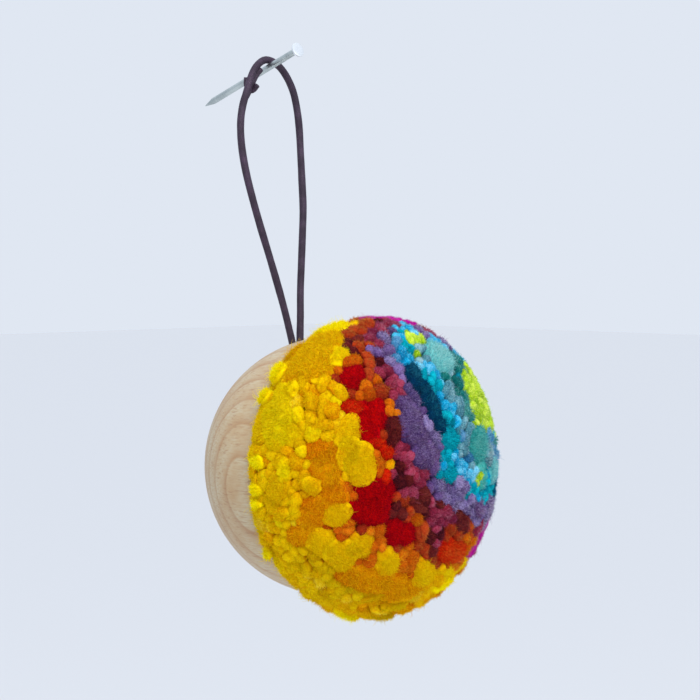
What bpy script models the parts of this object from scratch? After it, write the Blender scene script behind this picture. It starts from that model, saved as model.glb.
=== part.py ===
"""Yarn pom pom on a turned wooden half ball, hung by a leather cord loop on a wall nail.

Metres, +Z up. The origin is where the nail's axis meets the wall's face. +X runs to the
right along the wall and +Y goes into it, so the pom pom faces -Y and the half ball's
round back touches the wall plane y = 0.
"""

import math
import random

import bmesh
import bpy
from mathutils import Matrix, Vector

MM = 0.001
CLEARANCE = 0.3 * MM  # between pieces that touch

# Turned wooden half ball: its flat face looks to the front, its round back leans on the wall
BALL_RADIUS = 35.0 * MM
BALL_CUT = 3.5 * MM  # the flat face, in front of the ball's centre
FACE_RADIUS = math.sqrt(BALL_RADIUS**2 - BALL_CUT**2)
BALL_DROP = 104.5 * MM  # the ball's centre below the nail's entry
BALL_EDGE = 0.8 * MM  # the broken edge round the flat face
BALL_STEPS = 64
BALL_ARC_POINTS = 16
BALL_CENTRE = Vector((0.0, -BALL_RADIUS, -BALL_DROP))

# Drilled hole in the top of the half ball, which takes both ends of the cord
HOLE_RADIUS = 2.65 * MM
HOLE_DEPTH = 12.0 * MM
HOLE_Y = -20.5 * MM
HOLE_STEPS = 24
CUTTER_OVERSHOOT = 6.0 * MM  # how far the hole's cutter stands out of the wood

# Pom pom: a trimmed bun of yarn, measured forward from the ball's centre
POM_CENTRE = BALL_CENTRE + Vector((0.7, 0.0, 0.4)) * MM  # glued a little off the middle
POM_RADIUS = 40.4 * MM  # widest, over the lock tips
POM_WAIST = 15.0 * MM  # where it is widest
POM_HEIGHT = 39.3 * MM  # the lock tips at the front pole
POM_FOOT_RADIUS = 35.3 * MM  # where the lock tips start, next to the wood
POM_FOOT = BALL_CUT + 0.4 * MM
FLANK_END = math.radians(-45)  # where the flank's arc ends at the foot
YARN_CENTRE = 7.5 * MM  # the tie that the yarn fans out from

# Backing: the tied middle of the yarn, which the locks are fused into
LOCK_DEPTH = 4.4 * MM  # free length of a lock above the backing
ROOT_DEPTH = 1.6 * MM  # how far a lock's root reaches into the backing
BACKING_FOOT = BALL_CUT + CLEARANCE
BACKING_FOOT_INSET = 3.3 * MM  # the backing's foot inside the tips' foot
BACKING_STEPS = 40
BACKING_FLANK_POINTS = 3
BACKING_DOME_POINTS = 8

# Locks: rings of four-sided wedges that widen towards their cut tips
LOCK_PITCH = 5.8 * MM  # from lock to lock
LOCK_GAP = 0.85 * MM  # free space between neighbours
LOCK_TIP_SHARE = 0.62  # width of the cut tip, over the width at the lock's shoulder
LOCK_TIP_HEIGHT = 1.3 * MM
LOCK_ROOT_SHARE = 0.75  # width at the root, over the width at the shoulder
THICK_SHARE = 0.2  # share of the locks that are thick roving
THICK_WIDTH = 1.7  # width of a roving lock, over that of a plain one
LENGTH_SPREAD = 0.7 * MM  # how unevenly the locks are trimmed
SPIN_SPREAD = math.radians(4.0)
ENVELOPE_POINTS = 40
YARN_SEED = 7

# Leather cord
CORD_DIAMETER = 2.0 * MM
CORD_POINT_SPACING = 2.6 * MM
CURVE_SAMPLES = 40  # samples between two points of the route

# The cord's route in millimetres: out of the hole, up the left strand, over the nail and
# down the right strand into the hole again
CORD_ROUTE = (
    (-1.25, -20.5, -83.2),
    (-1.25, -20.5, -78.0),
    (-1.35, -20.5, -73.0),
    (-2.15, -19.85, -68.0),
    (-3.40, -19.05, -62.0),
    (-5.10, -18.05, -55.0),
    (-7.10, -17.00, -47.5),
    (-9.20, -15.95, -40.0),
    (-11.10, -14.90, -32.5),
    (-12.55, -13.75, -25.0),
    (-13.15, -12.70, -18.0),
    (-12.75, -11.85, -12.0),
    (-11.20, -11.00, -7.2),
    (-8.70, -10.20, -2.6),
    (-6.60, -9.60, 1.2),
    (-3.90, -9.05, 4.2),
    (-0.30, -8.80, 5.85),
    (3.70, -9.05, 4.6),
    (6.50, -9.60, 1.7),
    (8.55, -10.30, -2.6),
    (9.35, -11.05, -7.6),
    (9.45, -11.85, -13.0),
    (9.00, -12.85, -20.0),
    (8.45, -13.95, -27.5),
    (7.80, -15.05, -35.0),
    (6.45, -16.15, -42.5),
    (5.00, -17.25, -50.0),
    (3.55, -18.35, -57.5),
    (2.60, -19.30, -64.5),
    (1.75, -20.05, -69.5),
    (1.32, -20.5, -73.6),
    (1.25, -20.5, -78.0),
    (1.25, -20.5, -83.2),
)

# Knot: the cord's short cut tail, hooked round the back of the left strand just under the nail
TAIL_DIAMETER = 1.3 * MM
TAIL_ROUTE = (
    (-7.75, -8.10, -0.5),
    (-6.95, -8.60, -1.2),
    (-6.45, -9.50, -2.1),
    (-6.50, -10.60, -2.5),
    (-6.60, -11.50, -2.1),
    (-6.45, -12.20, -1.1),
)

# Steel nail, driven into the wall at a slant
NAIL_TILT = math.radians(21.3)  # the head is higher than the entry
NAIL_LENGTH = 40.0 * MM
NAIL_OUTSIDE = 22.8 * MM  # from the wall's face to the head's top
NAIL_RADIUS = 0.9 * MM
HEAD_RADIUS = 2.0 * MM
HEAD_THICKNESS = 0.7 * MM
HEAD_CHAMFER = 0.12 * MM
POINT_LENGTH = 3.6 * MM
POINT_RADIUS = 0.12 * MM
NAIL_STEPS = 20

FRONTWARD = Matrix.Rotation(math.radians(90), 4, "X")  # turns local +Z to the front, -Y


def clear_scene():
    """Removes every object that the file starts with."""
    for obj in list(bpy.data.objects):
        bpy.data.objects.remove(obj)


def make_collection(name):
    """A new collection in the scene."""
    collection = bpy.data.collections.new(name)
    bpy.context.scene.collection.children.link(collection)
    return collection


def make_material(name, colour, roughness, metallic=0.0):
    """A plain Principled material."""
    material = bpy.data.materials.new(name)
    material.use_nodes = True
    shader = material.node_tree.nodes["Principled BSDF"]
    shader.inputs["Base Color"].default_value = (*colour, 1.0)
    shader.inputs["Roughness"].default_value = roughness
    shader.inputs["Metallic"].default_value = metallic
    material.diffuse_color = (*colour, 1.0)
    return material


def add_object(name, data, collection, material=None, matrix=None):
    """A new object in a collection, with its material and place."""
    obj = bpy.data.objects.new(name, data)
    collection.objects.link(obj)
    if material:
        data.materials.append(material)
    if matrix:
        obj.matrix_world = matrix
    return obj


def mark_as_cutter(obj):
    """Keeps an object that only shapes others out of the model."""
    obj.hide_render = True
    obj.display_type = "WIRE"


def add_boolean(obj, operand, operation):
    """Cuts or joins an object with another."""
    modifier = obj.modifiers.new(f"{operation.lower()}_{operand.name}", "BOOLEAN")
    modifier.operation = operation
    modifier.solver = "EXACT"
    modifier.object = operand


def turned_object(name, profile, steps, collection, material, matrix):
    """A solid turned about local Z from (radius, height) points that run down its outer side."""
    mesh = bpy.data.meshes.new(name)
    mesh.from_pydata(
        [(radius, 0.0, height) for radius, height in profile],
        [(i, i + 1) for i in range(len(profile) - 1)],
        [],
    )
    obj = add_object(name, mesh, collection, material, matrix)
    screw = obj.modifiers.new("turn", "SCREW")
    screw.axis = "Z"
    screw.steps = steps
    screw.render_steps = steps
    screw.use_merge_vertices = True
    screw.merge_threshold = 1e-6
    screw.use_smooth_shade = True
    return obj


def arc(centre, radii, start, end, count):
    """Points (radius, height) along an elliptical arc; angles from the radial direction, in radians."""
    angles = [start + (end - start) * i / (count - 1) for i in range(count)]
    return [
        (centre[0] + radii[0] * math.cos(a), centre[1] + radii[1] * math.sin(a))
        for a in angles
    ]


def smooth_route(route, spacing):
    """Evenly spaced points, in metres, on a smooth curve through a route in millimetres."""
    points = [Vector(p) * MM for p in route]
    padded = [points[0] * 2 - points[1], *points, points[-1] * 2 - points[-2]]
    fine = []
    for before, start, end, after in zip(padded, padded[1:], padded[2:], padded[3:]):
        for i in range(CURVE_SAMPLES):
            t = i / CURVE_SAMPLES
            fine.append(
                0.5
                * (
                    2 * start
                    + (end - before) * t
                    + (2 * before - 5 * start + 4 * end - after) * t**2
                    + (3 * start - before - 3 * end + after) * t**3
                )
            )
    fine.append(points[-1])
    lengths = [0.0]
    for a, b in zip(fine, fine[1:]):
        lengths.append(lengths[-1] + (b - a).length)
    count = round(lengths[-1] / spacing)
    even = []
    index = 0
    for i in range(count + 1):
        target = lengths[-1] * i / count
        while index < len(fine) - 2 and lengths[index + 1] < target:
            index += 1
        share = (target - lengths[index]) / (lengths[index + 1] - lengths[index])
        even.append(fine[index].lerp(fine[index + 1], share))
    return even


def tube_object(name, points, diameter, collection, material):
    """A round cord along a line of points."""
    curve = bpy.data.curves.new(name, "CURVE")
    curve.dimensions = "3D"
    curve.bevel_depth = diameter / 2
    curve.bevel_resolution = 2
    curve.use_fill_caps = True
    spline = curve.splines.new("POLY")
    spline.points.add(len(points) - 1)
    for spline_point, point in zip(spline.points, points):
        spline_point.co = (*point, 1.0)
    return add_object(name, curve, collection, material)


def build_half_ball(parts, cutters, wood):
    """The wooden half ball, with its broken front edge and the drilled hole for the cord."""
    edge_angle = math.asin((BALL_CUT - BALL_EDGE) / BALL_RADIUS)
    profile = [(0.0, BALL_CUT), (FACE_RADIUS - BALL_EDGE, BALL_CUT)]
    profile += arc(
        (0.0, 0.0), (BALL_RADIUS, BALL_RADIUS), edge_angle, -math.pi / 2, BALL_ARC_POINTS
    )
    profile[-1] = (0.0, -BALL_RADIUS)
    place = Matrix.Translation(BALL_CENTRE) @ FRONTWARD
    ball = turned_object("wooden_half_ball", profile, BALL_STEPS, parts, wood, place)

    behind_centre = HOLE_Y - BALL_CENTRE.y
    mouth_height = math.sqrt(BALL_RADIUS**2 - behind_centre**2)
    depth = HOLE_DEPTH + CUTTER_OVERSHOOT
    hole_middle = BALL_CENTRE.z + mouth_height + CUTTER_OVERSHOOT - depth / 2
    hole = bpy.data.meshes.new("cord_hole")
    shape = bmesh.new()
    bmesh.ops.create_cone(
        shape,
        cap_ends=True,
        segments=HOLE_STEPS,
        radius1=HOLE_RADIUS,
        radius2=HOLE_RADIUS,
        depth=depth,
    )
    shape.to_mesh(hole)
    shape.free()
    cutter = add_object(
        "cord_hole", hole, cutters, matrix=Matrix.Translation((0.0, HOLE_Y, hole_middle))
    )
    mark_as_cutter(cutter)
    add_boolean(ball, cutter, "DIFFERENCE")


def pom_flank(waist_radius, foot_radius, foot, count):
    """Points (radius, height) from the pom pom's waist in to its foot."""
    radius = (waist_radius - foot_radius) / (1 - math.cos(FLANK_END))
    drop = (POM_WAIST - foot) / math.sin(-FLANK_END)
    return arc((waist_radius - radius, POM_WAIST), (radius, drop), 0.0, FLANK_END, count)


def pom_envelope(count):
    """Points (radius, height) of the lock tips, from the front pole to the foot."""
    dome = arc(
        (0.0, POM_WAIST), (POM_RADIUS, POM_HEIGHT - POM_WAIST), math.pi / 2, 0.0, count
    )
    return dome + pom_flank(POM_RADIUS, POM_FOOT_RADIUS, POM_FOOT, count)[1:]


def build_backing(parts, yarn, place):
    """The dense tied middle of the pom pom, with its flat foot on the wood."""
    waist_radius = POM_RADIUS - LOCK_DEPTH
    dome = arc(
        (0.0, POM_WAIST),
        (waist_radius, POM_HEIGHT - LOCK_DEPTH - POM_WAIST),
        math.pi / 2,
        0.0,
        BACKING_DOME_POINTS,
    )
    flank = pom_flank(
        waist_radius, POM_FOOT_RADIUS - BACKING_FOOT_INSET, BACKING_FOOT, BACKING_FLANK_POINTS
    )
    profile = dome + flank[1:] + [(0.0, BACKING_FOOT)]
    profile[0] = (0.0, profile[0][1])
    return turned_object("yarn_pom_pom", profile, BACKING_STEPS, parts, yarn, place)


def rings_along(points, pitch):
    """Rings of locks down a profile: their (radius, height) from the pole on, and the true pitch.

    The pitch is measured across the locks, which point away from the yarn's centre.
    """
    lengths = [0.0]
    for (r0, h0), (r1, h1) in zip(points, points[1:]):
        outward = Vector(((r0 + r1) / 2, (h0 + h1) / 2 - YARN_CENTRE)).normalized()
        across = abs((r1 - r0) * outward.y - (h1 - h0) * outward.x)
        lengths.append(lengths[-1] + across)
    count = round(lengths[-1] / pitch - 0.5)
    true_pitch = lengths[-1] / (count + 0.5)
    rings = []
    for i in range(count + 1):
        target = true_pitch * i
        k = max(j for j in range(len(points) - 1) if lengths[j] <= target)
        share = (target - lengths[k]) / (lengths[k + 1] - lengths[k])
        (r0, h0), (r1, h1) = points[k], points[k + 1]
        rings.append((r0 + (r1 - r0) * share, h0 + (h1 - h0) * share))
    return rings, true_pitch


def add_lock(shape, tip, around, width_around, width_along, length):
    """One four-sided lock of yarn, from its root in the backing to its cut tip.

    It points away from the yarn's centre. The tip is in the pom pom's own frame, +Z to the
    front, and around is the direction of the lock's width.
    """
    centre = Vector((0.0, 0.0, YARN_CENTRE))
    outward = (tip - centre).normalized()
    shoulder = length - LOCK_TIP_HEIGHT
    corner = math.sqrt(0.5)  # a square of side 1 has its corners this far from its middle
    made = bmesh.ops.create_cone(
        shape,
        cap_ends=True,
        segments=4,
        radius1=corner * LOCK_ROOT_SHARE,
        radius2=corner,
        depth=shoulder,
        matrix=Matrix.Rotation(math.pi / 4, 4, "Z"),
    )["verts"]
    top = [v for v in made if v.co.z > 0]
    top_face = next(f for f in top[0].link_faces if all(v in top for v in f.verts))
    grown = bmesh.ops.extrude_discrete_faces(shape, faces=[top_face])["faces"][0]
    for vertex in grown.verts:
        vertex.co.x *= LOCK_TIP_SHARE
        vertex.co.y *= LOCK_TIP_SHARE
        vertex.co.z += LOCK_TIP_HEIGHT
    vertices = list(set(made) | set(grown.verts))
    along = outward.cross(around)
    turn = Matrix((around, along, outward)).transposed().to_4x4()
    size = Matrix.Diagonal((width_around, width_along, 1.0, 1.0))
    middle = tip - outward * (length - shoulder / 2)
    bmesh.ops.transform(
        shape, matrix=Matrix.Translation(middle) @ turn @ size, verts=vertices
    )


def shares_of_ring(draw, room):
    """Uneven widths, in pitches, that fill a ring which has room for so many plain locks."""
    widths = []
    while sum(widths) < room - 0.5:
        thick = draw.random() < THICK_SHARE
        widths.append(THICK_WIDTH if thick else draw.uniform(0.9, 1.1))
    return widths


def add_ring(shape, draw, radius, height, pitch):
    """One ring of locks round the pom pom's axis, of uneven width, length and lean."""
    inner_radius = radius - pitch / 2 + LOCK_GAP / 2  # where a ring's locks stand closest
    outer_radius = radius + pitch / 2
    if radius < pitch / 2:
        widths, inner_radius = [1.0], (pitch - LOCK_GAP) / (2 * math.pi)
    else:
        widths = shares_of_ring(draw, 2 * math.pi * inner_radius / pitch)
    share_angle = 2 * math.pi / sum(widths)
    angle = draw.uniform(0.0, 2 * math.pi)
    for width in widths:
        angle += width * share_angle / 2
        tip = Vector((radius * math.cos(angle), radius * math.sin(angle), height))
        around = Vector((-math.sin(angle), math.cos(angle), 0.0))
        angle += width * share_angle / 2
        outward = (tip - Vector((0.0, 0.0, YARN_CENTRE))).normalized()
        around.rotate(Matrix.Rotation(draw.uniform(-SPIN_SPREAD, SPIN_SPREAD), 3, outward))
        trim = draw.uniform(-LENGTH_SPREAD, LENGTH_SPREAD)
        lock_width = width * share_angle * inner_radius - LOCK_GAP
        add_lock(
            shape,
            tip + outward * trim,
            around,
            lock_width,
            pitch - LOCK_GAP - lock_width**2 / (8 * outer_radius),
            LOCK_DEPTH + ROOT_DEPTH + trim,
        )


def build_locks(cutters, place):
    """All the locks, in rings from the front pole to the foot."""
    draw = random.Random(YARN_SEED)
    shape = bmesh.new()
    rings, pitch = rings_along(pom_envelope(ENVELOPE_POINTS), LOCK_PITCH)
    for radius, height in rings:
        add_ring(shape, draw, radius, height, pitch)
    mesh = bpy.data.meshes.new("locks")
    shape.to_mesh(mesh)
    shape.free()
    locks = add_object("locks", mesh, cutters, matrix=place)
    mark_as_cutter(locks)
    return locks


def build_pom_pom(parts, cutters, yarn):
    """The pom pom: its backing with all its locks fused into it."""
    place = Matrix.Translation(POM_CENTRE) @ FRONTWARD
    backing = build_backing(parts, yarn, place)
    add_boolean(backing, build_locks(cutters, place), "UNION")


def build_cord(parts, leather):
    """The hanging loop and its knot's tail."""
    route = smooth_route(CORD_ROUTE, CORD_POINT_SPACING)
    tube_object("hanging_cord", route, CORD_DIAMETER, parts, leather)
    tail = smooth_route(TAIL_ROUTE, TAIL_DIAMETER / 2)
    tube_object("cord_knot", tail, TAIL_DIAMETER, parts, leather)


def build_nail(parts, steel):
    """The nail, from its head to its point inside the wall."""
    top = NAIL_OUTSIDE
    profile = [
        (0.0, top),
        (HEAD_RADIUS - HEAD_CHAMFER, top),
        (HEAD_RADIUS, top - HEAD_CHAMFER),
        (HEAD_RADIUS, top - HEAD_THICKNESS + HEAD_CHAMFER),
        (HEAD_RADIUS - HEAD_CHAMFER, top - HEAD_THICKNESS),
        (NAIL_RADIUS, top - HEAD_THICKNESS),
        (NAIL_RADIUS, top - NAIL_LENGTH + POINT_LENGTH),
        (POINT_RADIUS, top - NAIL_LENGTH),
        (0.0, top - NAIL_LENGTH),
    ]
    slant = Matrix.Rotation(math.pi / 2 - NAIL_TILT, 4, "X")
    turned_object("wall_nail", profile, NAIL_STEPS, parts, steel, slant)


def main():
    """Builds the whole object."""
    clear_scene()
    parts = make_collection("yarn_pom_pom_on_half_ball")
    cutters = make_collection("cutters")
    wood = make_material("pale_wood", (0.62, 0.45, 0.28), 0.5)
    yarn = make_material("wool_yarn", (0.83, 0.55, 0.02), 0.95)
    leather = make_material("dark_leather", (0.055, 0.028, 0.034), 0.65)
    steel = make_material("zinc_steel", (0.68, 0.70, 0.72), 0.35, 1.0)
    build_half_ball(parts, cutters, wood)
    build_pom_pom(parts, cutters, yarn)
    build_cord(parts, leather)
    build_nail(parts, steel)


main()
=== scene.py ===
"""Dressed model of a yarn pom pom on a turned wooden half ball, hung by a leather loop.

Metres, +Z up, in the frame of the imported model. The yarn is worked out in millimetres on the
trimmed bun's own surface, and turned into metres when its meshes are made.
"""

import logging
import math
from dataclasses import dataclass, field
from enum import Enum
from functools import cached_property
from typing import Any, Sequence

import bpy
import numpy as np
from bpy.types import Material, Mesh, NodeSocket, NodeTree, Object
from mathutils import Matrix, Vector


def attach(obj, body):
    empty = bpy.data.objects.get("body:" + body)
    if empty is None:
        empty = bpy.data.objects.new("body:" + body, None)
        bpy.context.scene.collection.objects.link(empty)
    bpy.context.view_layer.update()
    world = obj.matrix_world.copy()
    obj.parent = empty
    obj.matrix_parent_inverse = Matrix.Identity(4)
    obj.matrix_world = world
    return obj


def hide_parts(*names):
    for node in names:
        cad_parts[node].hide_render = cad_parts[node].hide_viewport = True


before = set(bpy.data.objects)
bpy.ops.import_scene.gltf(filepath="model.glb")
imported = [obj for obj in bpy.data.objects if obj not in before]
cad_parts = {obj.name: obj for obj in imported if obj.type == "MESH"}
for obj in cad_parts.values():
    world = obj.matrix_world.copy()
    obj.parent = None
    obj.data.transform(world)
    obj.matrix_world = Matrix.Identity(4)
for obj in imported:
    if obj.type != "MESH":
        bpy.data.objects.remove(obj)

MM = 0.001
Array = np.ndarray
Pair = tuple[float, float]
Point = Colour = tuple[float, float, float]
log = logging.getLogger("pom_pom")


def linear(red: int, green: int, blue: int) -> Colour:
    """Turns a display colour, each channel from 0 to 255, into a linear one.

    Args:
        red: The red channel.
        green: The green channel.
        blue: The blue channel.

    Returns:
        The linear colour, each channel from 0 to 1.
    """
    shares = (channel / 255 for channel in (red, green, blue))
    return tuple(s / 12.92 if s <= 0.04045 else ((s + 0.055) / 1.055) ** 2.4 for s in shares)


# ---- Finishes ----


class NodeBench:
    """Places and wires the nodes of one tree, from left to right."""

    def __init__(self, tree: NodeTree) -> None:
        """Empties the tree and starts on it."""
        self.tree = tree
        tree.nodes.clear()

    def add(self, kind: str, inputs: dict[Any, Any] | None = None, **settings: Any) -> bpy.types.Node:
        """Places a node, sets it and feeds its inputs.

        Args:
            kind: The node's type.
            inputs: For each input's name or number, a value or the socket that feeds it.
            settings: The node's own settings.

        Returns:
            The node.
        """
        node = self.tree.nodes.new(kind)
        node.location = (180 * len(self.tree.nodes), 0)
        for name, value in settings.items():
            setattr(node, name, value)
        for key, value in (inputs or {}).items():
            self.feed(node.inputs[key], value)
        return node

    def feed(self, socket: NodeSocket, value: Any) -> None:
        """Links a socket to another, or gives it a plain value.

        Args:
            socket: The input.
            value: An output socket, a number, a vector or a colour.
        """
        if isinstance(value, NodeSocket):
            self.tree.links.new(value, socket)
        elif socket.type == "RGBA" and len(value) == 3:
            socket.default_value = (*value, 1.0)
        else:
            socket.default_value = value

    def maths(self, operation: str, *values: Any) -> NodeSocket:
        """Places a Math node.

        Args:
            operation: What it does.
            values: Its inputs in order.

        Returns:
            Its output.
        """
        return self.add("ShaderNodeMath", dict(enumerate(values)), operation=operation).outputs[0]

    def blend(self, share: Any, low: Any, high: Any) -> NodeSocket:
        """Mixes two colours.

        Args:
            share: How much of the second, from 0 to 1.
            low: The first colour.
            high: The second colour.

        Returns:
            The mixed colour.
        """
        return self.add("ShaderNodeMix", {0: share, 6: low, 7: high}, data_type="RGBA").outputs[2]

    def spread(self, value: Any, low: float, high: float, to_low: float, to_high: float) -> NodeSocket:
        """Maps a value from one range to another, held to its ends.

        Args:
            value: The value.
            low: The start of its range.
            high: The end of its range.
            to_low: What the start becomes.
            to_high: What the end becomes.

        Returns:
            The mapped value.
        """
        limits = {"Value": value, "From Min": low, "From Max": high, "To Min": to_low, "To Max": to_high}
        return self.add("ShaderNodeMapRange", limits).outputs[0]

    def noise(self, vector: Any, scale: Any, detail: float = 2.0, roughness: float = 0.5) -> NodeSocket:
        """Places a noise pattern.

        Args:
            vector: Its coordinates.
            scale: Repeats to a metre.
            detail: How many finer layers it has.
            roughness: How strong those are.

        Returns:
            The pattern's value.
        """
        inputs = {"Vector": vector, "Scale": scale, "Detail": detail, "Roughness": roughness}
        return self.add("ShaderNodeTexNoise", inputs).outputs["Fac"]

    def place(self) -> NodeSocket:
        """The place on the piece, in metres."""
        return self.add("ShaderNodeTexCoord").outputs["Object"]

    def stretched(self, vector: Any, scale: Point) -> NodeSocket:
        """Coordinates scaled along each axis."""
        return self.add("ShaderNodeMapping", {"Vector": vector, "Scale": scale}).outputs[0]

    def carried(self, name: str) -> NodeSocket:
        """A number that the points of a mesh carry, in a Geometry Nodes tree."""
        return self.add("GeometryNodeInputNamedAttribute", {"Name": name}, data_type="FLOAT").outputs[0]

    def surface(self, colour: Any, roughness: Any, height: Any, relief: Pair, **plain: Any) -> None:
        """Ends a material in its shader, with a bump.

        Args:
            colour: Its colour.
            roughness: How rough it is.
            height: The height that the bump follows.
            relief: The bump's depth in metres, and its strength.
            plain: Other inputs of the shader that are the same all over, with _ for each space.
        """
        depth, strength = relief
        bump = self.add("ShaderNodeBump", {"Height": height, "Distance": depth, "Strength": strength})
        inputs = {"Base Color": colour, "Roughness": roughness, "Normal": bump.outputs[0]}
        inputs.update({title.replace("_", " "): value for title, value in plain.items()})
        shader = self.add("ShaderNodeBsdfPrincipled", inputs)
        self.add("ShaderNodeOutputMaterial", {"Surface": shader.outputs[0]})


def new_finish(name: str) -> tuple[Material, NodeBench]:
    """Starts a material.

    Args:
        name: Its name.

    Returns:
        The material and the bench on which its nodes are placed.
    """
    material = bpy.data.materials.new(name)
    material.use_nodes = True
    return material, NodeBench(material.node_tree)


def shader_group(
    name: str, inputs: Sequence[tuple[str, str, Any]], outputs: Sequence[tuple[str, str]]
) -> NodeBench:
    """Starts a shader node group with named sockets.

    Args:
        name: The group's name.
        inputs: For each input, its name, socket type and first value.
        outputs: For each output, its name and socket type.

    Returns:
        The bench on which the group is built.
    """
    tree = bpy.data.node_groups.new(name, "ShaderNodeTree")
    for title, kind, value in inputs:
        socket = tree.interface.new_socket(title, in_out="INPUT", socket_type=kind)
        socket.default_value = (*value, 1.0) if kind == "NodeSocketColor" else value
    for title, kind in outputs:
        tree.interface.new_socket(title, in_out="OUTPUT", socket_type=kind)
    return NodeBench(tree)


@dataclass(frozen=True)
class WoolEffect:
    """How dyed wool looks at any colour: paler cut tips, deep colour painted into the creases as shade, and
    a fine stipple.
    """

    stipple_size: float = 0.4 * MM
    stipple_strength: float = 0.75
    mottle_size: float = 1.7 * MM
    mottle_strength: float = 0.55
    full_tint: float = 0.9
    darkest: float = 0.9
    tip_wander: float = 0.15
    # The painted crease shade is full where a point's nearness to its cut tip is at most the first, and gone
    # from the second on.
    crease_shade_start: float = 0.05
    crease_shade_end: float = 0.6

    def group(self) -> NodeTree:
        """Builds the node group that every dye's material uses.

        Returns:
            The group, which puts out a colour and a height.
        """
        colours = [(title, "NodeSocketColor", (0.5, 0.5, 0.5)) for title in ("Tips", "Deep", "Pale")]
        results = [("Color", "NodeSocketColor"), ("Height", "NodeSocketFloat")]
        bench = shader_group("dyed_wool", [*colours, ("Variety", "NodeSocketFloat", 0.5)], results)
        given = bench.add("NodeGroupInput").outputs
        place = bench.place()
        # The shade attribute is each tuft's or fibre's random tone, less the painted shade at a tuft's
        # unmerged edge.
        tip, shade = (
            bench.add("ShaderNodeAttribute", attribute_name=name).outputs["Fac"] for name in ("tip", "shade")
        )
        mottle = bench.noise(place, 1 / self.mottle_size)
        stipple = bench.noise(place, 1 / self.stipple_size, 3.0, 0.65)
        wander = bench.maths("MULTIPLY_ADD", mottle, 2 * self.mottle_strength, -self.mottle_strength)
        grain = bench.spread(stipple, 0.3, 0.7, -self.stipple_strength, self.stipple_strength)
        uneven = bench.maths("ADD", bench.maths("ADD", wander, grain), shade)
        tint = bench.maths("MULTIPLY", uneven, given["Variety"])
        paler = bench.spread(tint, 0.0, self.full_tint, 0.0, 1.0)
        darker = bench.spread(tint, 0.0, -self.full_tint, 0.0, self.darkest)
        worn = bench.blend(darker, bench.blend(paler, given["Tips"], given["Pale"]), given["Deep"])
        # The deep colour is painted into the creases as shade: fully at points far from their cut tip, with
        # a little wander.
        frayed = bench.maths("MULTIPLY_ADD", mottle, 2 * self.tip_wander, -self.tip_wander)
        rough_tip = bench.maths("ADD", tip, frayed)
        depth = bench.spread(rough_tip, self.crease_shade_start, self.crease_shade_end, 1.0, 0.0)
        colour = bench.blend(depth, worn, given["Deep"])
        bench.add("NodeGroupOutput", {"Color": colour, "Height": stipple})
        return bench.tree


@dataclass(frozen=True)
class DyeBath:
    """One yarn colour, as linear colours of its parts, and how the wool takes the light."""

    tips: Colour
    deep: Colour
    pale: Colour
    variety: float = 0.5
    roughness: float = 0.95
    gloss: float = 0.04
    relief: Pair = (0.12 * MM, 0.6)
    sheen: float = 0.06
    sheen_roughness: float = 0.6
    glow: float = 0.4
    glow_reach: float = 1.7 * MM
    glow_spread: Colour = (1.0, 0.6, 0.4)

    def material(self, name: str, wool: NodeTree) -> Material:
        """Dyes wool of this colour.

        Args:
            name: The dye's name.
            wool: The shared wool group.

        Returns:
            The material.
        """
        material, bench = new_finish(f"wool_{name}")
        parts = {"Tips": self.tips, "Deep": self.deep, "Pale": self.pale, "Variety": self.variety}
        dyed = bench.add("ShaderNodeGroup", parts, node_tree=wool).outputs
        bench.surface(
            dyed["Color"],
            self.roughness,
            dyed["Height"],
            self.relief,
            Specular_IOR_Level=self.gloss,
            Subsurface_Weight=self.glow,
            Subsurface_Scale=self.glow_reach,
            Subsurface_Radius=self.glow_spread,
            Sheen_Weight=self.sheen,
            Sheen_Roughness=self.sheen_roughness,
            Sheen_Tint=self.tips,
        )
        return material


def bath(
    tips: tuple[int, int, int], deep: tuple[int, int, int], pale: tuple[int, int, int], variety: float = 0.5
) -> DyeBath:
    """Mixes a dye from display colours.

    Args:
        tips: The cut tips.
        deep: The darker strands, and the painted shade in the creases and at the edges.
        pale: The paler strands.
        variety: How much the strands differ.

    Returns:
        The dye.
    """
    return DyeBath(linear(*tips), linear(*deep), linear(*pale), variety)


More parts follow.
